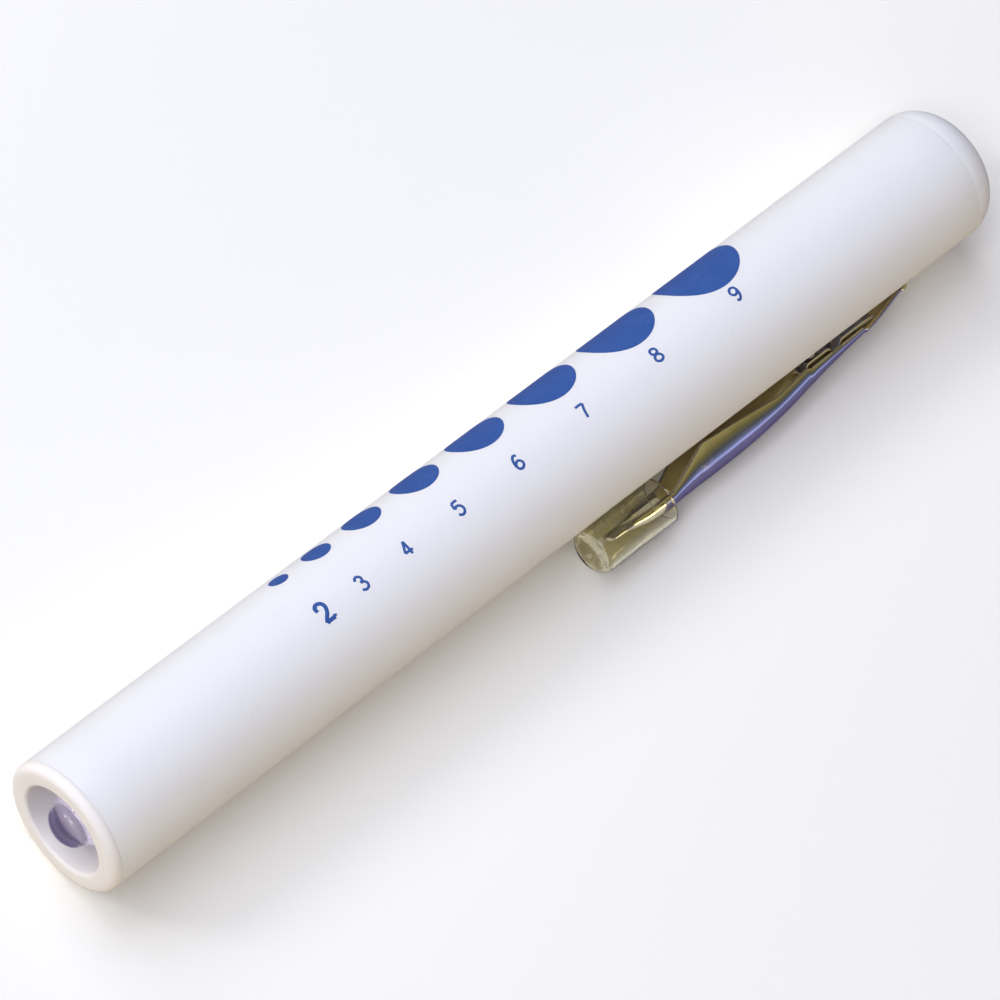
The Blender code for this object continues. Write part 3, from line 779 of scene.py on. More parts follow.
# %% Bulb glass
LENS_R = 2.15
LENS_RISE = 1.28
LENS_STEPS = 18
GLASS_R = 2.85
GLASS_WALL = 0.4
NECK_R = 2.2
NECK_END = 12.8
INSIDE = GLASS_R - GLASS_WALL
NECK_INSIDE = NECK_R - GLASS_WALL
BEAD_BACK = [(0.0, 2.7), (0.8, 2.74), (1.5, 2.87), (2.0, 3.1), (2.33, 3.5)]
BODY_INSIDE = [(INSIDE, 4.0), (INSIDE, 9.4), (2.3, 10.0), (NECK_INSIDE, 10.6), (NECK_INSIDE, NECK_END)]
BODY_OUTSIDE = [(NECK_R, NECK_END), (NECK_R, 10.7), (2.6, 10.1), (GLASS_R, 9.6), (GLASS_R, 3.6)]
SHOULDER = [(2.84, 3.1), (2.78, 2.6), (2.64, 2.2), (2.44, 1.88), (2.26, 1.64), (2.17, 1.42)]


def make_bulb_glass():
    """Lens-end envelope with a smooth bead, shoulder, body and neck."""
    angles = [math.pi / 2 * i / LENS_STEPS for i in range(LENS_STEPS, 0, -1)]
    dome = [(LENS_R * math.sin(a), LENS_RISE * (1 - math.cos(a))) for a in angles]
    profile = BEAD_BACK + BODY_INSIDE + BODY_OUTSIDE + SHOULDER + dome + [(0.0, 0.0)]
    shape = turned_shape(profile, steps=SMALL_STEPS)
    piece = finish_piece("lens_envelope", shape, "bulb_glass", "housing", sharp=60)
    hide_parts("bulb_glass")


make_bulb_glass()

# %% [markdown]
# What follows a rule is left to Geometry Nodes: wound wire, the row of dots, and print that is
# bent round the barrel. Four helpers keep those trees short. They open a tree with named inputs,
# add a node, run a tree on a mesh, and end a tree. An input of the modifier is set by its
# socket's identifier, not its name, so the helpers hand the identifiers on.

# %% Helpers for Geometry Nodes
def open_tree(name, inputs):
    """A geometry tree with named inputs. Returns tree, input, output and identifiers."""
    tree = bpy.data.node_groups.new(name, "GeometryNodeTree")
    tree.interface.new_socket("Geometry", in_out="INPUT", socket_type="NodeSocketGeometry")
    identifiers = {}
    for label, kind, value in inputs:
        socket = tree.interface.new_socket(label, in_out="INPUT", socket_type="NodeSocket" + kind)
        socket.default_value = value
        identifiers[label] = socket.identifier
    tree.interface.new_socket("Geometry", in_out="OUTPUT", socket_type="NodeSocketGeometry")
    return tree, tree.nodes.new("NodeGroupInput"), tree.nodes.new("NodeGroupOutput"), identifiers


def add_node(tree, kind, links=(), **settings):
    """A node with its settings and its linked or plain inputs, as (socket, value) pairs."""
    node = tree.nodes.new(kind)
    for label, value in settings.items():
        setattr(node, label, value)
    for socket, value in links:
        if isinstance(value, bpy.types.NodeSocket):
            tree.links.new(value, node.inputs[socket])
        else:
            node.inputs[socket].default_value = value
    return node


def run_tree(name, mesh, tree, identifiers, values):
    """Run a tree on a mesh and return the result as plain mesh."""
    holder = bpy.data.objects.new(name, mesh)
    bpy.context.scene.collection.objects.link(holder)
    modifier = holder.modifiers.new("nodes", "NODES")
    modifier.node_group = tree
    for label, value in values.items():
        modifier[identifiers[label]] = value
    bpy.context.view_layer.update()
    evaluated = holder.evaluated_get(bpy.context.evaluated_depsgraph_get())
    result = bpy.data.meshes.new_from_object(evaluated)
    bpy.data.objects.remove(holder, do_unlink=True)
    return result


def end_tree(tree, geometry, end, finish):
    """Realize Instances and Set Material, then the group's output."""
    real = add_node(tree, "GeometryNodeRealizeInstances", [("Geometry", geometry)])
    painted = add_node(tree, "GeometryNodeSetMaterial", [
        ("Geometry", real.outputs[0]), ("Material", finish)])
    tree.links.new(painted.outputs[0], end.inputs["Geometry"])


print("geometry helpers ready")

# %% [markdown]
# The filament and the rear spring are both wire wound on a helix. One tree serves both. It puts
# many points on a line, moves each to its place on the helix by sine and cosine, and Curve to
# Mesh gives the line its wire. Its sizes are named inputs. Closed end turns are made by easing
# the pitch to nothing at both ends.

# %% Geometry Nodes: a wound wire
WIRE_POINTS = 240
WIRE_SIDES = 12


def wound_wire_tree(finish):
    """A helix about a centre line, with eased pitch at both ends."""
    inputs = [("Turns", "Float", 4.0), ("Coil Radius", "Float", 0.003), ("Coil Length", "Float", 0.004),
              ("Wire Radius", "Float", 0.0003), ("Closed Ends", "Float", 1.0)]
    tree, start, end, identifiers = open_tree("wound wire " + finish.name, inputs)
    points = add_node(tree, "GeometryNodeResampleCurve", [
        ("Curve", add_node(tree, "GeometryNodeCurvePrimitiveLine").outputs[0]), ("Count", WIRE_POINTS)])
    part = add_node(tree, "GeometryNodeSplineParameter").outputs["Factor"]
    turned_by = maths(tree, "MULTIPLY", start.outputs["Turns"], 2 * math.pi)
    angle = maths(tree, "MULTIPLY", part, turned_by)
    smooth = add_node(tree, "ShaderNodeMapRange", [("Value", part)],
                      interpolation_type="SMOOTHSTEP").outputs["Result"]
    eased = add_node(tree, "ShaderNodeMix", [("Factor", start.outputs["Closed Ends"]), (2, part),
                                             (3, smooth)]).outputs[0]
    along = maths(tree, "MULTIPLY", eased, start.outputs["Coil Length"])
    circle = [maths(tree, "MULTIPLY", maths(tree, turn, angle), start.outputs["Coil Radius"])
              for turn in ("COSINE", "SINE")]
    place = add_node(tree, "ShaderNodeCombineXYZ", [("X", along), ("Y", circle[0]), ("Z", circle[1])])
    moved = add_node(tree, "GeometryNodeSetPosition", [("Geometry", points.outputs[0]),
                                                       ("Position", place.outputs[0])])
    ring = add_node(tree, "GeometryNodeCurvePrimitiveCircle", [
        ("Resolution", WIRE_SIDES), ("Radius", start.outputs["Wire Radius"])])
    tube = add_node(tree, "GeometryNodeCurveToMesh", [
        ("Curve", moved.outputs[0]), ("Profile Curve", ring.outputs[0]), ("Fill Caps", True)])
    end_tree(tree, tube.outputs[0], end, finish)
    return tree, identifiers


def wind(name, node, slot, place, **sizes):
    """Wind a wire, move it by a matrix, and put it in place of a CAD node."""
    tree, identifiers = wound_wire_tree(FINISHES[slot])
    values = {label.replace("_", " "): value for label, value in sizes.items()}
    mesh = run_tree(name, bpy.data.meshes.new(name), tree, identifiers, values)
    mesh.transform(place)
    piece = show_piece(name, mesh, slot, "housing", sharp=60)
    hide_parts(node)


print("wound wire ready")

# %% [markdown]
# The spring presses the two cells forward against the bulb. Its room is read from the box of its
# CAD node, so that its end turns touch what they should.

# %% Spring
SPRING_TURNS = 4.0
SPRING_R = 3.3
SPRING_WIRE_R = 0.3
spring_low, spring_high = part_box("rear_spring")
wind("coil_spring", "rear_spring", "spring_steel",
     Matrix.Translation(spot((spring_low.x - FRONT.x) / MM + SPRING_WIRE_R, 0)),
     Turns=SPRING_TURNS, Coil_Radius=SPRING_R * MM, Wire_Radius=SPRING_WIRE_R * MM,
     Coil_Length=spring_high.x - spring_low.x - 2 * SPRING_WIRE_R * MM, Closed_Ends=1.0)

# %% [markdown]
# The filament is the same tree with other sizes, but it is wound across the bulb between its two
# leads. The way from one lead to the other is read from their boxes, and a matrix built from it
# turns the finished mesh and lays it there.

# %% Filament
FILAMENT_ALONG = 4.9
FILAMENT_SPAN = 1.5
FILAMENT_TURNS = 9.0
FILAMENT_R = 0.2
FILAMENT_WIRE_R = 0.035

lead = box_middle("lead_wire_a") - box_middle("lead_wire_b")
span = Vector((0, lead.y, lead.z)).normalized()
beside = span.cross(ALONG).normalized()
turn = Matrix((span, beside, span.cross(beside))).transposed().to_4x4()
wind("coiled_filament", "filament", "tungsten",
     Matrix.Translation(spot(FILAMENT_ALONG, 0)) @ turn
     @ Matrix.Translation((-FILAMENT_SPAN * MM / 2, 0, 0)),
     Turns=FILAMENT_TURNS, Coil_Radius=FILAMENT_R * MM, Wire_Radius=FILAMENT_WIRE_R * MM,
     Coil_Length=FILAMENT_SPAN * MM, Closed_Ends=0.0)

# %% [markdown]
# The pupil gauge is a row of blue dots from 2 to 9 millimetres, printed on the side away from the
# clip, so that a doctor can hold the barrel beside an eye. The row follows a rule: each dot is a
# millimetre wider than the one before, with the same gap between neighbours. Geometry Nodes
# makes it flat from that rule, and then a second tree bends it round the barrel.

# %% Geometry Nodes: wrap flat print round the barrel
INK_LIFT = 0.015


def wrap_tree():
    """Bend flat geometry round the barrel: x runs along, y round it, z outwards."""
    inputs = [("Barrel Radius", "Float", BARREL_R * MM), ("Front", "Vector", (0, 0, 0)),
              ("Middle Way", "Vector", (0, 0, 1)), ("Side Way", "Vector", (0, 1, 0))]
    tree, start, end, identifiers = open_tree("wrap round barrel", inputs)
    split = add_node(tree, "ShaderNodeSeparateXYZ", [
        (0, add_node(tree, "GeometryNodeInputPosition").outputs[0])])
    radius = start.outputs["Barrel Radius"]
    angle = maths(tree, "DIVIDE", split.outputs[1], radius)
    reach = maths(tree, "ADD", split.outputs[2], radius)
    parts = [add_node(tree, "ShaderNodeCombineXYZ", [("X", split.outputs[0])]).outputs[0],
             start.outputs["Front"]]
    for turn, way in (("COSINE", "Middle Way"), ("SINE", "Side Way")):
        share = maths(tree, "MULTIPLY", maths(tree, turn, angle), reach)
        parts.append(add_node(tree, "ShaderNodeVectorMath", [
            (0, start.outputs[way]), ("Scale", share)], operation="SCALE").outputs[0])
    total = parts[0]
    for part in parts[1:]:
        total = add_node(tree, "ShaderNodeVectorMath", [(0, total), (1, part)], operation="ADD").outputs[0]
    moved = add_node(tree, "GeometryNodeSetPosition", [
        ("Geometry", start.outputs["Geometry"]), ("Position", total)])
    end_tree(tree, moved.outputs[0], end, INK)
    return tree, identifiers


WRAP, WRAP_INPUTS = wrap_tree()


def print_on_barrel(name, flat):
    """Wrap flat print round the barrel, keeping its coat of ink, and let it ride."""
    values = {"Barrel Radius": BARREL_R * MM, "Front": FRONT, "Middle Way": -OUT, "Side Way": ACROSS}
    show_piece(name, run_tree(name, flat, WRAP, WRAP_INPUTS, values), "gauge_ink", "housing", sharp=50)


print("wrap tree ready")

# %% [markdown]
# A dot is a square grid squeezed into a disc, so that it has inner points to bend with. One
# disc is instanced on a line of eight points. Its size and its place come from the point's
# index: the centres move apart by an arithmetic rule.

# %% Geometry Nodes: the row of dots
DOTS = 8
FIRST_DOT = 2.0
DOT_GAP = 2.17
FIRST_DOT_ALONG = 30.9
DOT_CELLS = 36


def disc_mesh(cells):
    """A unit disc made from a square grid, two layers thick and closed at its rim."""
    shape = bmesh.new()
    layers = []
    for lift in (INK_LIFT, -INK_LIFT):
        layer = {}
        for i in range(cells + 1):
            for j in range(cells + 1):
                u, v = 2 * i / cells - 1, 2 * j / cells - 1
                place = (u * math.sqrt(1 - v * v / 2), v * math.sqrt(1 - u * u / 2), lift * MM)
                layer[i, j] = shape.verts.new(place)
        layers.append(layer)
        for i in range(cells):
            for j in range(cells):
                shape.faces.new([layer[i, j], layer[i + 1, j], layer[i + 1, j + 1], layer[i, j + 1]])
    rim = [(i, 0) for i in range(cells)] + [(cells, j) for j in range(cells)]
    rim += [(i, cells) for i in range(cells, 0, -1)] + [(0, j) for j in range(cells, 0, -1)]
    for place, after in zip(rim, rim[1:] + rim[:1]):
        shape.faces.new([layers[0][place], layers[0][after], layers[1][after], layers[1][place]])
    bmesh.ops.recalc_face_normals(shape, faces=shape.faces[:])
    mesh = bpy.data.meshes.new("unit_dot")
    shape.to_mesh(mesh)
    shape.free()
    return mesh


def dot_row_tree():
    """Discs on a line of points, each a millimetre wider than the last."""
    inputs = [("Dots", "Int", DOTS), ("First Dot", "Float", FIRST_DOT * MM),
              ("Step", "Float", MM), ("Gap", "Float", DOT_GAP * MM), ("First Along", "Float", 0.03)]
    tree, start, end, identifiers = open_tree("row of dots", inputs)
    line = add_node(tree, "GeometryNodeMeshLine", [("Count", start.outputs["Dots"])])
    index = add_node(tree, "GeometryNodeInputIndex").outputs[0]
    pitch = maths(tree, "ADD", start.outputs["First Dot"], start.outputs["Gap"])
    pitch = maths(tree, "ADD", pitch, maths(tree, "MULTIPLY", start.outputs["Step"], 0.5))
    pairs = maths(tree, "MULTIPLY", index, maths(tree, "SUBTRACT", index, 1.0))
    grown = maths(tree, "MULTIPLY", maths(tree, "MULTIPLY", pairs, 0.5), start.outputs["Step"])
    along = maths(tree, "ADD", maths(tree, "MULTIPLY", index, pitch), grown)
    along = maths(tree, "ADD", along, start.outputs["First Along"])
    place = add_node(tree, "ShaderNodeCombineXYZ", [("X", along)])
    moved = add_node(tree, "GeometryNodeSetPosition", [("Geometry", line.outputs[0]),
                                                       ("Position", place.outputs[0])])
    width = maths(tree, "ADD", start.outputs["First Dot"],
                  maths(tree, "MULTIPLY", index, start.outputs["Step"]))
    radius = maths(tree, "MULTIPLY", width, 0.5)
    size = add_node(tree, "ShaderNodeCombineXYZ", [("X", radius), ("Y", radius), ("Z", 1.0)])
    many = add_node(tree, "GeometryNodeInstanceOnPoints", [
        ("Points", moved.outputs[0]), ("Instance", start.outputs["Geometry"]), ("Scale", size.outputs[0])])
    end_tree(tree, many.outputs[0], end, INK)
    return tree, identifiers


dot_tree, dot_inputs = dot_row_tree()
flat_dots = run_tree("flat_dots", disc_mesh(DOT_CELLS), dot_tree, dot_inputs,
                     {"First Along": FIRST_DOT_ALONG * MM})
print_on_barrel("gauge_dots", flat_dots)

# %% [markdown]
# The numerals are in a plain draughtsman's hand, so no font is needed. Each is a few strokes
# through points of a unit box, and a sharp corner is made by starting a new stroke. A Catmull-Rom
# curve smooths each stroke. Geometry Nodes then runs a flat oval nib along it, and the wrap tree
# bends it round the barrel like the dots. The first numeral is larger and bolder than the rest.

# %% Strokes of the numerals
NUMERALS = {
    2: [[(0.03, 0.66), (0.02, 0.86), (0.30, 1.0), (0.66, 0.93), (0.80, 0.70), (0.62, 0.42),
         (0.30, 0.20), (0.05, 0.0)],
        [(0.05, 0.0), (0.50, 0.02), (0.92, 0.02)], [(0.92, 0.02), (0.97, 0.14)]],
    3: [[(0.04, 0.80), (0.22, 0.98), (0.52, 1.0), (0.76, 0.84), (0.70, 0.62), (0.40, 0.53)],
        [(0.40, 0.53), (0.74, 0.50), (0.95, 0.28), (0.78, 0.05), (0.40, 0.0), (0.08, 0.12)]],
    4: [[(0.66, 0.0), (0.66, 0.5), (0.66, 1.0)], [(0.66, 1.0), (0.34, 0.62), (0.02, 0.26)],
        [(0.02, 0.26), (0.50, 0.26), (0.98, 0.26)]],
    5: [[(0.92, 1.0), (0.55, 1.0), (0.22, 0.98)], [(0.22, 0.98), (0.15, 0.78), (0.10, 0.54)],
        [(0.10, 0.54), (0.45, 0.66), (0.80, 0.56), (0.93, 0.30), (0.72, 0.05), (0.36, 0.0), (0.05, 0.14)]],
    6: [[(0.86, 0.90), (0.60, 1.0), (0.26, 0.80), (0.07, 0.42), (0.16, 0.10), (0.48, 0.0), (0.82, 0.12),
         (0.92, 0.36), (0.66, 0.56), (0.30, 0.50), (0.08, 0.30)]],
    7: [[(0.04, 0.98), (0.5, 1.0), (0.96, 0.98)], [(0.96, 0.98), (0.62, 0.52), (0.40, 0.0)]],
    8: [[(0.50, 0.54), (0.16, 0.68), (0.20, 0.93), (0.50, 1.0), (0.80, 0.93), (0.84, 0.68), (0.50, 0.54),
         (0.14, 0.40), (0.08, 0.14), (0.50, 0.0), (0.92, 0.14), (0.86, 0.40), (0.50, 0.54)]],
    9: [[(0.14, 0.10), (0.40, 0.0), (0.74, 0.20), (0.93, 0.58), (0.84, 0.90), (0.52, 1.0), (0.18, 0.88),
         (0.08, 0.64), (0.34, 0.44), (0.70, 0.50), (0.92, 0.70)]],
}
print("numerals:", *NUMERALS)

# %% [markdown]
# The strokes become one mesh of edges, and each of its points carries the nib's radius as an
# attribute. Each numeral is centred on its dot, and the row drifts a little towards the barrel's
# middle line as it goes back.

# %% Strokes as edges
NUMERAL_HEIGHT = 1.45
NUMERAL_WIDTH = 0.95
NIB = 0.135
BOLD_HEIGHT = 1.95
BOLD_WIDTH = 1.2
BOLD_NIB = 0.20
NUMERAL_SIDE = 6.42
NUMERAL_DRIFT = 0.0125
NUMERAL_SHIFT = -0.1


def smooth_stroke(points, steps=7):
    """Catmull-Rom points through a stroke's points."""
    ends = [points[0]] + list(points) + [points[-1]]
    found = []
    for a, b, c, d in zip(ends, ends[1:], ends[2:], ends[3:]):
        for i in range(steps):
            t = i / steps
            found.append(tuple(0.5 * (2 * q + (r - p) * t + (2 * p - 5 * q + 4 * r - s) * t * t
                                      + (3 * q - p - 3 * r + s) * t ** 3)
                               for p, q, r, s in zip(a, b, c, d)))
    return found + [points[-1]]


def dot_along(value):
    """Where the centre of a dot lies along the barrel."""
    steps = value - FIRST_DOT
    return FIRST_DOT_ALONG + steps * (FIRST_DOT + 0.5 + DOT_GAP) + steps * (steps - 1) / 2


def numeral_lines():
    """All strokes as one mesh of edges, with the nib's radius on each point."""
    points, edges, nibs = [], [], []
    for value, strokes in NUMERALS.items():
        bold = value == 2
        height, width = (BOLD_HEIGHT, BOLD_WIDTH) if bold else (NUMERAL_HEIGHT, NUMERAL_WIDTH)
        centre = dot_along(value) + NUMERAL_SHIFT
        side = NUMERAL_SIDE - NUMERAL_DRIFT * (centre - dot_along(2))
        for stroke in strokes:
            for k, (x, y) in enumerate(smooth_stroke(stroke)):
                if k:
                    edges.append((len(points) - 1, len(points)))
                points.append(((centre + (x - 0.5) * width) * MM, (side - (y - 0.5) * height) * MM, 0))
                nibs.append((BOLD_NIB if bold else NIB) * MM)
    mesh = bpy.data.meshes.new("numeral_lines")
    mesh.from_pydata(points, edges, [])
    mesh.attributes.new("nib", "FLOAT", "POINT").data.foreach_set("value", nibs)
    return mesh


print("stroke helpers ready")

# %% [markdown]
# Curve to Mesh sweeps a round nib along the strokes, its size led by the attribute. The tube is
# then pressed flat to the thickness of the ink, and it stays a closed solid.

# %% Geometry Nodes: a nib along the strokes
NIB_SIDES = 10


def stroke_tree():
    """Run a flat oval nib along edges lying in a plane."""
    tree, start, end, identifiers = open_tree("nib along strokes", [("Coat", "Float", INK_LIFT * MM)])
    curve = add_node(tree, "GeometryNodeMeshToCurve", [("Mesh", start.outputs["Geometry"])])
    upright = add_node(tree, "GeometryNodeSetCurveNormal", [("Curve", curve.outputs[0])], mode="Z_UP")
    nib = add_node(tree, "GeometryNodeInputNamedAttribute", [("Name", "nib")], data_type="FLOAT")
    ring = add_node(tree, "GeometryNodeCurvePrimitiveCircle", [("Resolution", NIB_SIDES), ("Radius", 1.0)])
    tube = add_node(tree, "GeometryNodeCurveToMesh", [
        ("Curve", upright.outputs[0]), ("Profile Curve", ring.outputs[0]), ("Fill Caps", True),
        ("Scale", nib.outputs[0])])
    split = add_node(tree, "ShaderNodeSeparateXYZ", [
        (0, add_node(tree, "GeometryNodeInputPosition").outputs[0])])
    share = maths(tree, "DIVIDE", start.outputs["Coat"], nib.outputs[0])
    place = add_node(tree, "ShaderNodeCombineXYZ", [
        ("X", split.outputs[0]), ("Y", split.outputs[1]),
        ("Z", maths(tree, "MULTIPLY", split.outputs[2], share))])
    pressed = add_node(tree, "GeometryNodeSetPosition", [
        ("Geometry", tube.outputs[0]), ("Position", place.outputs[0])])
    end_tree(tree, pressed.outputs[0], end, INK)
    return tree, identifiers


nib_tree, nib_inputs = stroke_tree()
flat_numerals = run_tree("flat_numerals", numeral_lines(), nib_tree, nib_inputs, {"Coat": INK_LIFT * MM})
print_on_barrel("gauge_numerals", flat_numerals)

# %% [markdown]
# The pocket clip is one piece of chromed spring steel: a channel whose side walls carry a tooth
# that grips the pocket, narrowing to a tongue inside the plastic sleeve at its tip, and to a
# flat root that dives through the barrel's slot. Its shape is given by three tables along its
# length: outer face, half width, and lower edge of the walls. A sliding average over the table
# rows keeps the sheet fair. It is very short for the lower edge, so that the tooth stays sharp.

# %% Clip tables and interpolation
TOOTH_ALONG = 76.3
CLIP_FACE = [(63.8, 10.05), (66.2, 10.1), (67.4, 10.75), (70.6, 10.85), (76.0, 10.85), (80.0, 10.82),
             (83.5, 10.65), (88.0, 10.12), (92.0, 9.4), (96.2, 8.8), (100.5, 8.3), (102.8, 7.8),
             (104.0, 7.4)]
CLIP_HALF = [(63.8, 0.95), (65.9, 1.1), (66.6, 1.0), (67.6, 1.45), (71.5, 1.55), (76.0, 1.9),
             (88.0, 1.9), (98.4, 1.75), (101.0, 1.45), (104.0, 1.3)]
CLIP_EDGE = [(63.8, 9.6), (66.0, 9.6), (67.4, 9.4), (71.6, 9.3), (TOOTH_ALONG, 6.95), (81.0, 7.4),
             (86.0, 7.95), (90.4, 7.5), (90.9, 7.8), (98.2, 7.75), (98.6, 8.1), (100.5, 7.85),
             (102.8, 7.3), (104.0, 6.98)]


def read_straight(table, along):
    """Straight interpolation in an (along, value) table."""
    for (start, first), (end, last) in zip(table, table[1:]):
        if along <= end:
            return first + (last - first) * (along - start) / (end - start)
    return table[-1][1]


def read_smooth(table, along, reach=1.2, steps=8):
    """A table read through a short sliding average, which rounds its corners."""
    first, last = table[0][0], table[-1][0]
    near = [along + reach * (2 * i / steps - 1) for i in range(steps + 1)]
    return sum(read_straight(table, min(max(at, first), last)) for at in near) / len(near)


print("clip tables: %d rows" % (len(CLIP_FACE) + len(CLIP_HALF) + len(CLIP_EDGE)))

# %% [markdown]
# A section of the channel is a thin U, and each of its bends is a quarter of an ellipse, because
# the sheet rolls over gently. It is drawn as its outer line, and the inner line is laid off a
# sheet's thickness inwards. Points of the inner line will carry the attribute *inside*, where the
# chrome paints a gold reflection in shade, except at the tip, which keeps plain chrome.

# %% Section of the clip
SHEET = 0.4
CLIP_END = 104.0
BEND_ACROSS = 1.6
BEND_RISE = 3.4
BEND_STEPS = 14
BEND_LEAST = 0.12
CROWN_LEAST = 0.25
EDGE_MARGIN = 0.02
WALL_STEPS = 3


def clip_section(along):
    """Outer line of the channel at a place, from wall edge to wall edge, as (across, height)."""
    face = read_smooth(CLIP_FACE, along)
    half = read_smooth(CLIP_HALF, along, reach=0.6)
    edge = read_smooth(CLIP_EDGE, along, reach=0.12)
    inwards = min(BEND_ACROSS, half - CROWN_LEAST)
    rise = max(BEND_LEAST, min(BEND_RISE, face - edge - EDGE_MARGIN))
    corner = [(half - inwards * (1 - y), face - rise * (1 - z))
              for y, z in arc((0, 0), 1, 0, 90, BEND_STEPS)]
    wall = [(half, edge + (face - rise - edge) * i / WALL_STEPS) for i in range(WALL_STEPS)]
    crown = [((half - inwards) * (1 - i / WALL_STEPS), face) for i in range(1, WALL_STEPS)]
    right = wall + corner + crown
    return right + [(0.0, face)] + [(-y, z) for y, z in reversed(right)]


def inset(line, amount):
    """The line moved inwards by a sheet's thickness."""
    moved = []
    for i, (y, z) in enumerate(line):
        before, after = line[max(i - 1, 0)], line[min(i + 1, len(line) - 1)]
        dy, dz = after[0] - before[0], after[1] - before[1]
        size = math.hypot(dy, dz) or 1.0
        moved.append((y - dz / size * amount, z + dy / size * amount))
    return moved


def join_rings(shape, rings):
    """Quads between closed rings of points, with both ends closed."""
    made = [[shape.verts.new(point) for point in ring] for ring in rings]
    count = len(made[0])
    for ring, other in zip(made, made[1:]):
        for i in range(count):
            j = (i + 1) % count
            shape.faces.new((ring[i], ring[j], other[j], other[i]))
    shape.faces.new(made[0][::-1])
    shape.faces.new(made[-1])


print("section at the tooth: %d points" % len(clip_section(TOOTH_ALONG)))

# %% [markdown]
# Sections are joined along the length with quads, and both ends are closed. The root is the same
# U with its walls shrunk away: its path turns inwards through the slot and along the keyway to
# the foot behind the rear cell.

# %% Pocket clip
ROOT_PATH = [(104.3, 7.2), (104.65, 7.05), (104.85, 6.7), (104.95, 6.2), (105.2, 5.9), (105.6, 5.87),
             (107.0, 5.87), (107.35, 5.52), (107.35, 2.9)]
ROOT_WIDTH = 2.6
ROOT_SHEET = 0.3
CLIP_STEP = 0.3
# Up to here the tip keeps plain chrome, without the painted gold reflection.
UNPAINTED_TIP_TO = 70.9
CORNER_PLACES = (66.0, 67.4, TOOTH_ALONG, 90.4, 90.9, 98.2, 98.6)
CORNER_REACH = 0.1


def across_path(path, i, sheet):
    """Half a sheet's thickness, as a step square to a path at its point i."""
    before, after = path[max(i - 1, 0)], path[min(i + 1, len(path) - 1)]
    way = Vector((after[0] - before[0], after[1] - before[1])).normalized() * sheet / 2
    return Vector((-way.y, way.x))


def make_clip():
    """The clip from its tip to its foot, its root turned inwards through the slot."""
    shape = bmesh.new()
    count = round((CLIP_END - CLIP_FACE[0][0]) / CLIP_STEP)
    stops = {CLIP_FACE[0][0] + CLIP_STEP * i for i in range(count)} | {CLIP_END}
    for at in CORNER_PLACES:
        stops |= {at - CORNER_REACH, at, at + CORNER_REACH}
    rings = []
    for along in sorted(stops):
        outer = clip_section(along)
        inner = inset(outer, SHEET)
        rings.append([spot(along, z, y) for y, z in outer + inner[::-1]])
    across = [y for y, _ in clip_section(CLIP_END)]
    widest = max(across)
    flat = [y / widest * ROOT_WIDTH / 2 for y in across]
    for i, (along, height) in enumerate(ROOT_PATH):
        step = across_path(ROOT_PATH, i, ROOT_SHEET)
        outer = [spot(along + step.x, height + step.y, y) for y in flat]
        inner = [spot(along - step.x, height - step.y, y) for y in flat]
        rings.append(outer + inner[::-1])
    join_rings(shape, rings)
    # The inner face carries *inside*, where the chrome paints a gold reflection in shade; the tip keeps
    # plain chrome.
    inside = shape.verts.layers.float.new("inside")
    unpainted_tip = spot(UNPAINTED_TIP_TO, 0).x
    for i, corner in enumerate(shape.verts):
        corner[inside] = float(i % len(rings[0]) >= len(rings[0]) / 2 and corner.co.x > unpainted_tip)
    piece = finish_piece("spring_clip", shape, "clip_chrome", None, sharp=50)
    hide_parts("pocket_clip", "clip_root_tab")
    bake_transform(piece)


make_clip()

# %% [markdown]
# Under the root of the clip sits a narrow contact tongue. It has two flat feet near the barrel
# with a raised bridge between them, and a pip that dips through the switch window. Pressing the
# clip pushes the pip onto the brass strip inside.

# %% Contact tongue
TONGUE_PATH = [(100.0, 7.56), (98.5, 7.5), (95.7, 7.5), (95.55, 7.58), (95.25, 7.92), (95.1, 8.0),
               (94.3, 8.0), (94.15, 7.92), (93.85, 7.58), (93.7, 7.5), (91.1, 7.5), (90.95, 7.58),
               (90.5, 8.2)]
TONGUE_WIDTH = 2.3
TONGUE_SHEET = 0.3
TONGUE_BREAK = 0.04
PIP_ALONG = 92.4
PIP_R = 0.55
PIP_PROFILE = [(1.0, 7.5), (1.0, 6.75), (0.9, 6.52), (0.6, 6.41), (0.25, 6.38)]
PIP_STEPS = 24


def make_tongue():
    """Stepped spring tongue with a rounded pip."""
    shape = bmesh.new()
    rings = []
    half = TONGUE_WIDTH / 2
    for i, (along, height) in enumerate(TONGUE_PATH):
        step = across_path(TONGUE_PATH, i, TONGUE_SHEET)
        rings.append([spot(along + side * step.x, height + side * step.y, y)
                      for side, y in ((1, half), (1, -half), (-1, -half), (-1, half))])
    join_rings(shape, rings)
    bmesh.ops.recalc_face_normals(shape, faces=shape.faces[:])
    bmesh.ops.bevel(shape, geom=shape.edges[:], offset=TONGUE_BREAK * MM, segments=2, profile=0.5,
                    affect="EDGES", clamp_overlap=True)
    angles = [2 * math.pi * i / PIP_STEPS for i in range(PIP_STEPS)]
    rounds = [[spot(PIP_ALONG + PIP_R * share * math.cos(a), height, PIP_R * share * math.sin(a))
               for a in angles] for share, height in PIP_PROFILE]
    join_rings(shape, rounds)
    piece = finish_piece("switch_tongue", shape, "clip_chrome", "switch", sharp=35)
    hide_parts("contact_tongue")


make_tongue()

# %% [markdown]
# A clear vinyl sleeve softens the clip's tip. It is a thick little tube, closed and rounded at
# its front, and the narrow tip of the clip shows inside it. Like the bulb, it is one closed wall
# with a real thickness, so that it bends light as the real one does.

# %% Clear sleeve
SLEEVE_R = 2.5
SLEEVE_BORE = 2.1
SLEEVE_HEIGHT = 9.75
SLEEVE_START = 61.0
SLEEVE_MIDDLE = 66.0
SLEEVE_END = 70.6
SLEEVE_ROUND = 1.3
MOUTH_BACK = 0.2
CUP_ROUND = 0.5
CUP_LIFT = 0.05
CUP_DISH = 0.03


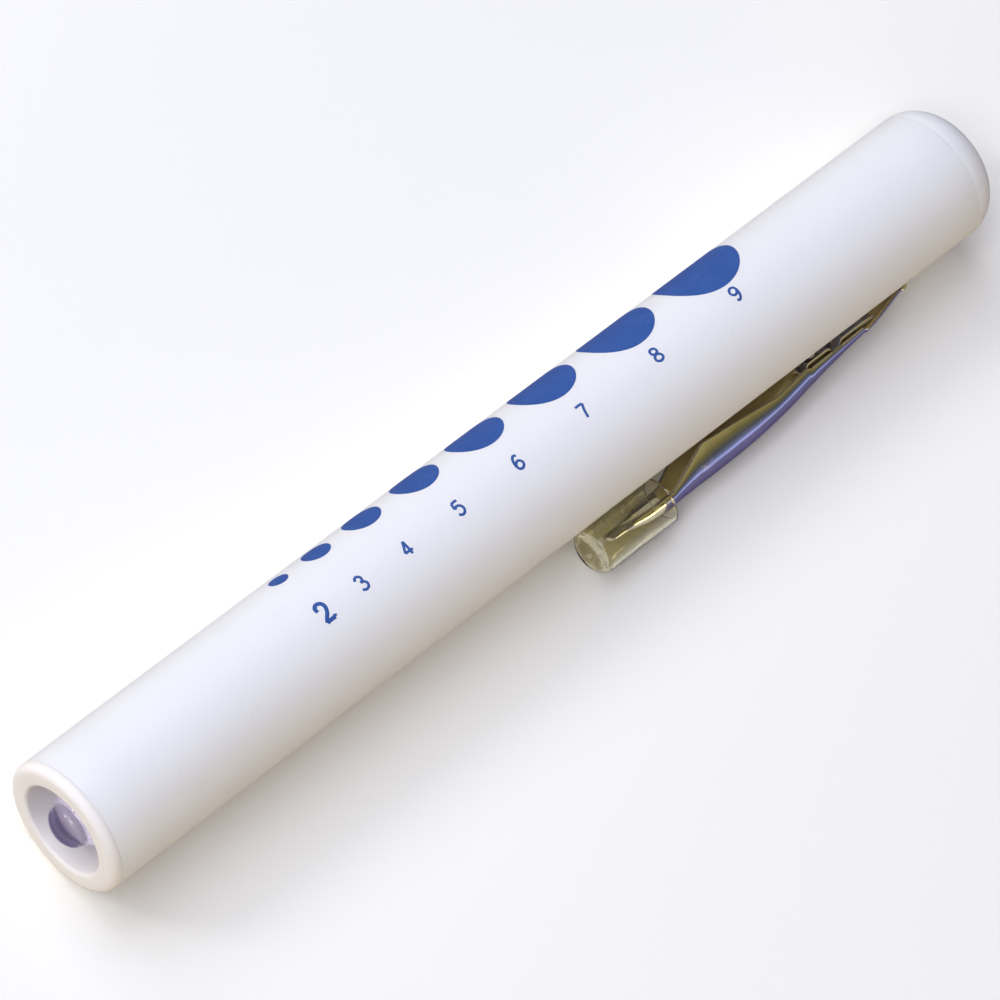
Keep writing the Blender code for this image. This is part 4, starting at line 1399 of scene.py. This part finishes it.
def make_sleeve():
    """Tube about the clip's tip with a closed, rounded front and a soft mouth."""
    wall = SLEEVE_R - SLEEVE_BORE
    cup = SLEEVE_START + 2 * wall
    profile = [(0.0, cup), (SLEEVE_BORE / 2, cup + CUP_DISH)]
    profile += arc((SLEEVE_BORE - CUP_ROUND, cup + CUP_LIFT + CUP_ROUND), CUP_ROUND, -90, 0, steps=6)
    profile += [(SLEEVE_BORE, SLEEVE_MIDDLE), (SLEEVE_BORE, SLEEVE_END - MOUTH_BACK / 2)]
    profile += arc(((SLEEVE_BORE + SLEEVE_R) / 2, SLEEVE_END - MOUTH_BACK), wall / 2, 180, 0, steps=8)
    profile += [(SLEEVE_R, SLEEVE_MIDDLE)]
    profile += arc((SLEEVE_R - SLEEVE_ROUND, SLEEVE_START + SLEEVE_ROUND), SLEEVE_ROUND, 0, -90, steps=12)
    profile += [(0.0, SLEEVE_START)]
    shape = turned_shape(profile, SLEEVE_HEIGHT, SMALL_STEPS)
    piece = finish_piece("tip_sleeve", shape, "clear_vinyl", "clip", sharp=60)
    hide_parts("clip_tip_sleeve")


make_sleeve()

# %% [markdown]
# The floor is a plain pale sheet. It belongs to the stage, not to the object. A Light Path node
# tells which kind of ray asks for its colour, and each kind gets its own answer. The camera sees
# a plain pale floor. Diffuse rays find a warm one, so that the underside of the barrel glows
# warmly. Mirrors find a dark violet one, which gives the chrome something dark to show. Rays that
# pass through glass or vinyl find violet at the nose and a warm white at the clip.

# %% Floor
FLOOR_HALF = 4.0
FLOOR_SEEN = (0.97, 0.965, 0.95)
FLOOR_GLOW = (1.0, 0.90, 0.62)
FLOOR_MIRRORED = (0.17, 0.155, 0.30)
FLOOR_BY_NOSE = (0.46, 0.39, 0.62)
FLOOR_THROUGH = (1.0, 0.98, 0.86)
GLOW_CHANGE = -0.03
FLOOR_CLOUD = 0.99


def add_floor():
    """A wide pale floor under the penlight."""
    mesh = bpy.data.meshes.new("floor")
    corners = [(-FLOOR_HALF, -FLOOR_HALF, 0), (FLOOR_HALF, -FLOOR_HALF, 0),
               (FLOOR_HALF, FLOOR_HALF, 0), (-FLOOR_HALF, FLOOR_HALF, 0)]
    mesh.from_pydata(corners, [], [(0, 1, 2, 3)])
    floor = bpy.data.objects.new("floor", mesh)
    bpy.context.scene.collection.objects.link(floor)
    made, tree, shader = open_finish("pale_floor", Roughness=0.9, Specular_IOR_Level=0.1)
    skin = place_group(tree, MOULDED_SKIN, Grain_Scale=400.0, Cloud_Scale=3.0)
    clouded = tuple(part * FLOOR_CLOUD for part in FLOOR_SEEN)
    shade = blend_colours(tree, skin.outputs["Cloud"], FLOOR_SEEN, clouded)
    place = tree.nodes.new("ShaderNodeTexCoord")
    split = tree.nodes.new("ShaderNodeSeparateXYZ")
    tree.links.new(place.outputs["Object"], split.inputs[0])
    rear = maths(tree, "GREATER_THAN", split.outputs["X"], GLOW_CHANGE)
    through = blend_colours(tree, rear, FLOOR_BY_NOSE, FLOOR_THROUGH)
    ray = tree.nodes.new("ShaderNodeLightPath")
    for choice, colour in (("Is Diffuse Ray", FLOOR_GLOW), ("Is Glossy Ray", FLOOR_MIRRORED),
                           ("Is Transmission Ray", through)):
        shade = blend_colours(tree, ray.outputs[choice], shade, colour)
    tree.links.new(shade, shader.inputs["Base Color"])
    mesh.materials.append(made)


add_floor()
print("floor %.0f m wide" % (2 * FLOOR_HALF))

# %% [markdown]
# The light is soft studio light from five softboxes. The key is large and cool and gives the
# sheen along the top of the barrel. The front one lights the nose, a faint one fills the shade,
# a low warm one lights the clip side, and a small one puts a bright point in the lens. The sky
# adds an even dim light. Mirrors see bands in the sky instead, because metal looks like metal
# only when bright and dark areas lie side by side in it. The camera sees a white backdrop.

# %% Lights and sky
SOFTBOXES = [  # name, place and size in metres, power in watts, colour
    ("key", (-0.15, 0.75, 0.95), (0.9, 0.9), 9.0, (0.94, 0.965, 1.0)),
    ("front", (-0.75, 0.1, 1.1), (0.6, 0.6), 6.2, (0.97, 0.975, 1.0)),
    ("fill", (-0.75, -0.45, 0.55), (0.5, 0.5), 0.3, (1.0, 0.95, 0.90)),
    ("warm", (0.15, -0.95, 0.16), (0.5, 0.2), 2.0, (1.0, 0.79, 0.36)),
    ("spark", (-0.57, 0.55, 0.50), (0.16, 0.16), 1.6, (1.0, 1.0, 1.0)),
]
SKY_LIGHT = (0.16, 0.16, 0.21)
BACKDROP = (1.0, 1.0, 1.0)
MIRRORED_SKY = [(0.0, (0.40, 0.43, 0.86)), (0.07, (0.52, 0.56, 1.0)), (0.15, (0.16, 0.19, 0.33)),
                (0.30, (0.085, 0.09, 0.10)), (0.45, (0.19, 0.16, 0.05)), (0.58, (0.40, 0.33, 0.12)),
                (0.75, (0.42, 0.38, 0.20)), (1.0, (0.36, 0.34, 0.28))]


def add_softbox(name, place, size, power, colour):
    """An area light that faces the middle of the barrel."""
    data = bpy.data.lights.new(name, "AREA")
    data.shape = "RECTANGLE"
    data.size, data.size_y = size
    data.energy = power
    data.color = colour
    lamp = bpy.data.objects.new(name, data)
    target = spot(LENGTH / 2, 0)
    lamp.matrix_world = (Matrix.Translation(place)
                         @ (Vector(place) - target).to_track_quat("Z", "Y").to_matrix().to_4x4())
    bpy.context.scene.collection.objects.link(lamp)


def add_sky():
    """An even dim sky, a banded one for mirrors, and a white backdrop for the camera."""
    world = bpy.data.worlds.new("sky")
    bpy.context.scene.world = world
    world.use_nodes = True
    tree = world.node_tree
    even = tree.nodes["Background"]
    even.inputs["Color"].default_value = (*SKY_LIGHT, 1.0)
    place = tree.nodes.new("ShaderNodeTexCoord")
    split = tree.nodes.new("ShaderNodeSeparateXYZ")
    tree.links.new(place.outputs["Generated"], split.inputs[0])
    bands = tree.nodes.new("ShaderNodeValToRGB")
    tree.links.new(split.outputs["Z"], bands.inputs["Fac"])
    points = bands.color_ramp.elements
    while len(points) < len(MIRRORED_SKY):
        points.new(1.0)
    for point, (height, colour) in zip(points, MIRRORED_SKY):
        point.position = height
        point.color = (*colour, 1.0)
    mirrored = tree.nodes.new("ShaderNodeBackground")
    tree.links.new(bands.outputs["Color"], mirrored.inputs["Color"])
    backdrop = tree.nodes.new("ShaderNodeBackground")
    backdrop.inputs["Color"].default_value = (*BACKDROP, 1.0)
    ray = tree.nodes.new("ShaderNodeLightPath")
    sky = even
    for choice, seen in (("Is Glossy Ray", mirrored), ("Is Camera Ray", backdrop)):
        mix = tree.nodes.new("ShaderNodeMixShader")
        tree.links.new(ray.outputs[choice], mix.inputs["Fac"])
        tree.links.new(sky.outputs[0], mix.inputs[1])
        tree.links.new(seen.outputs[0], mix.inputs[2])
        sky = mix
    tree.links.new(sky.outputs[0], tree.nodes["World Output"].inputs["Surface"])


for softbox in SOFTBOXES:
    add_softbox(*softbox)
add_sky()
bpy.context.scene.view_settings.view_transform = "Standard"
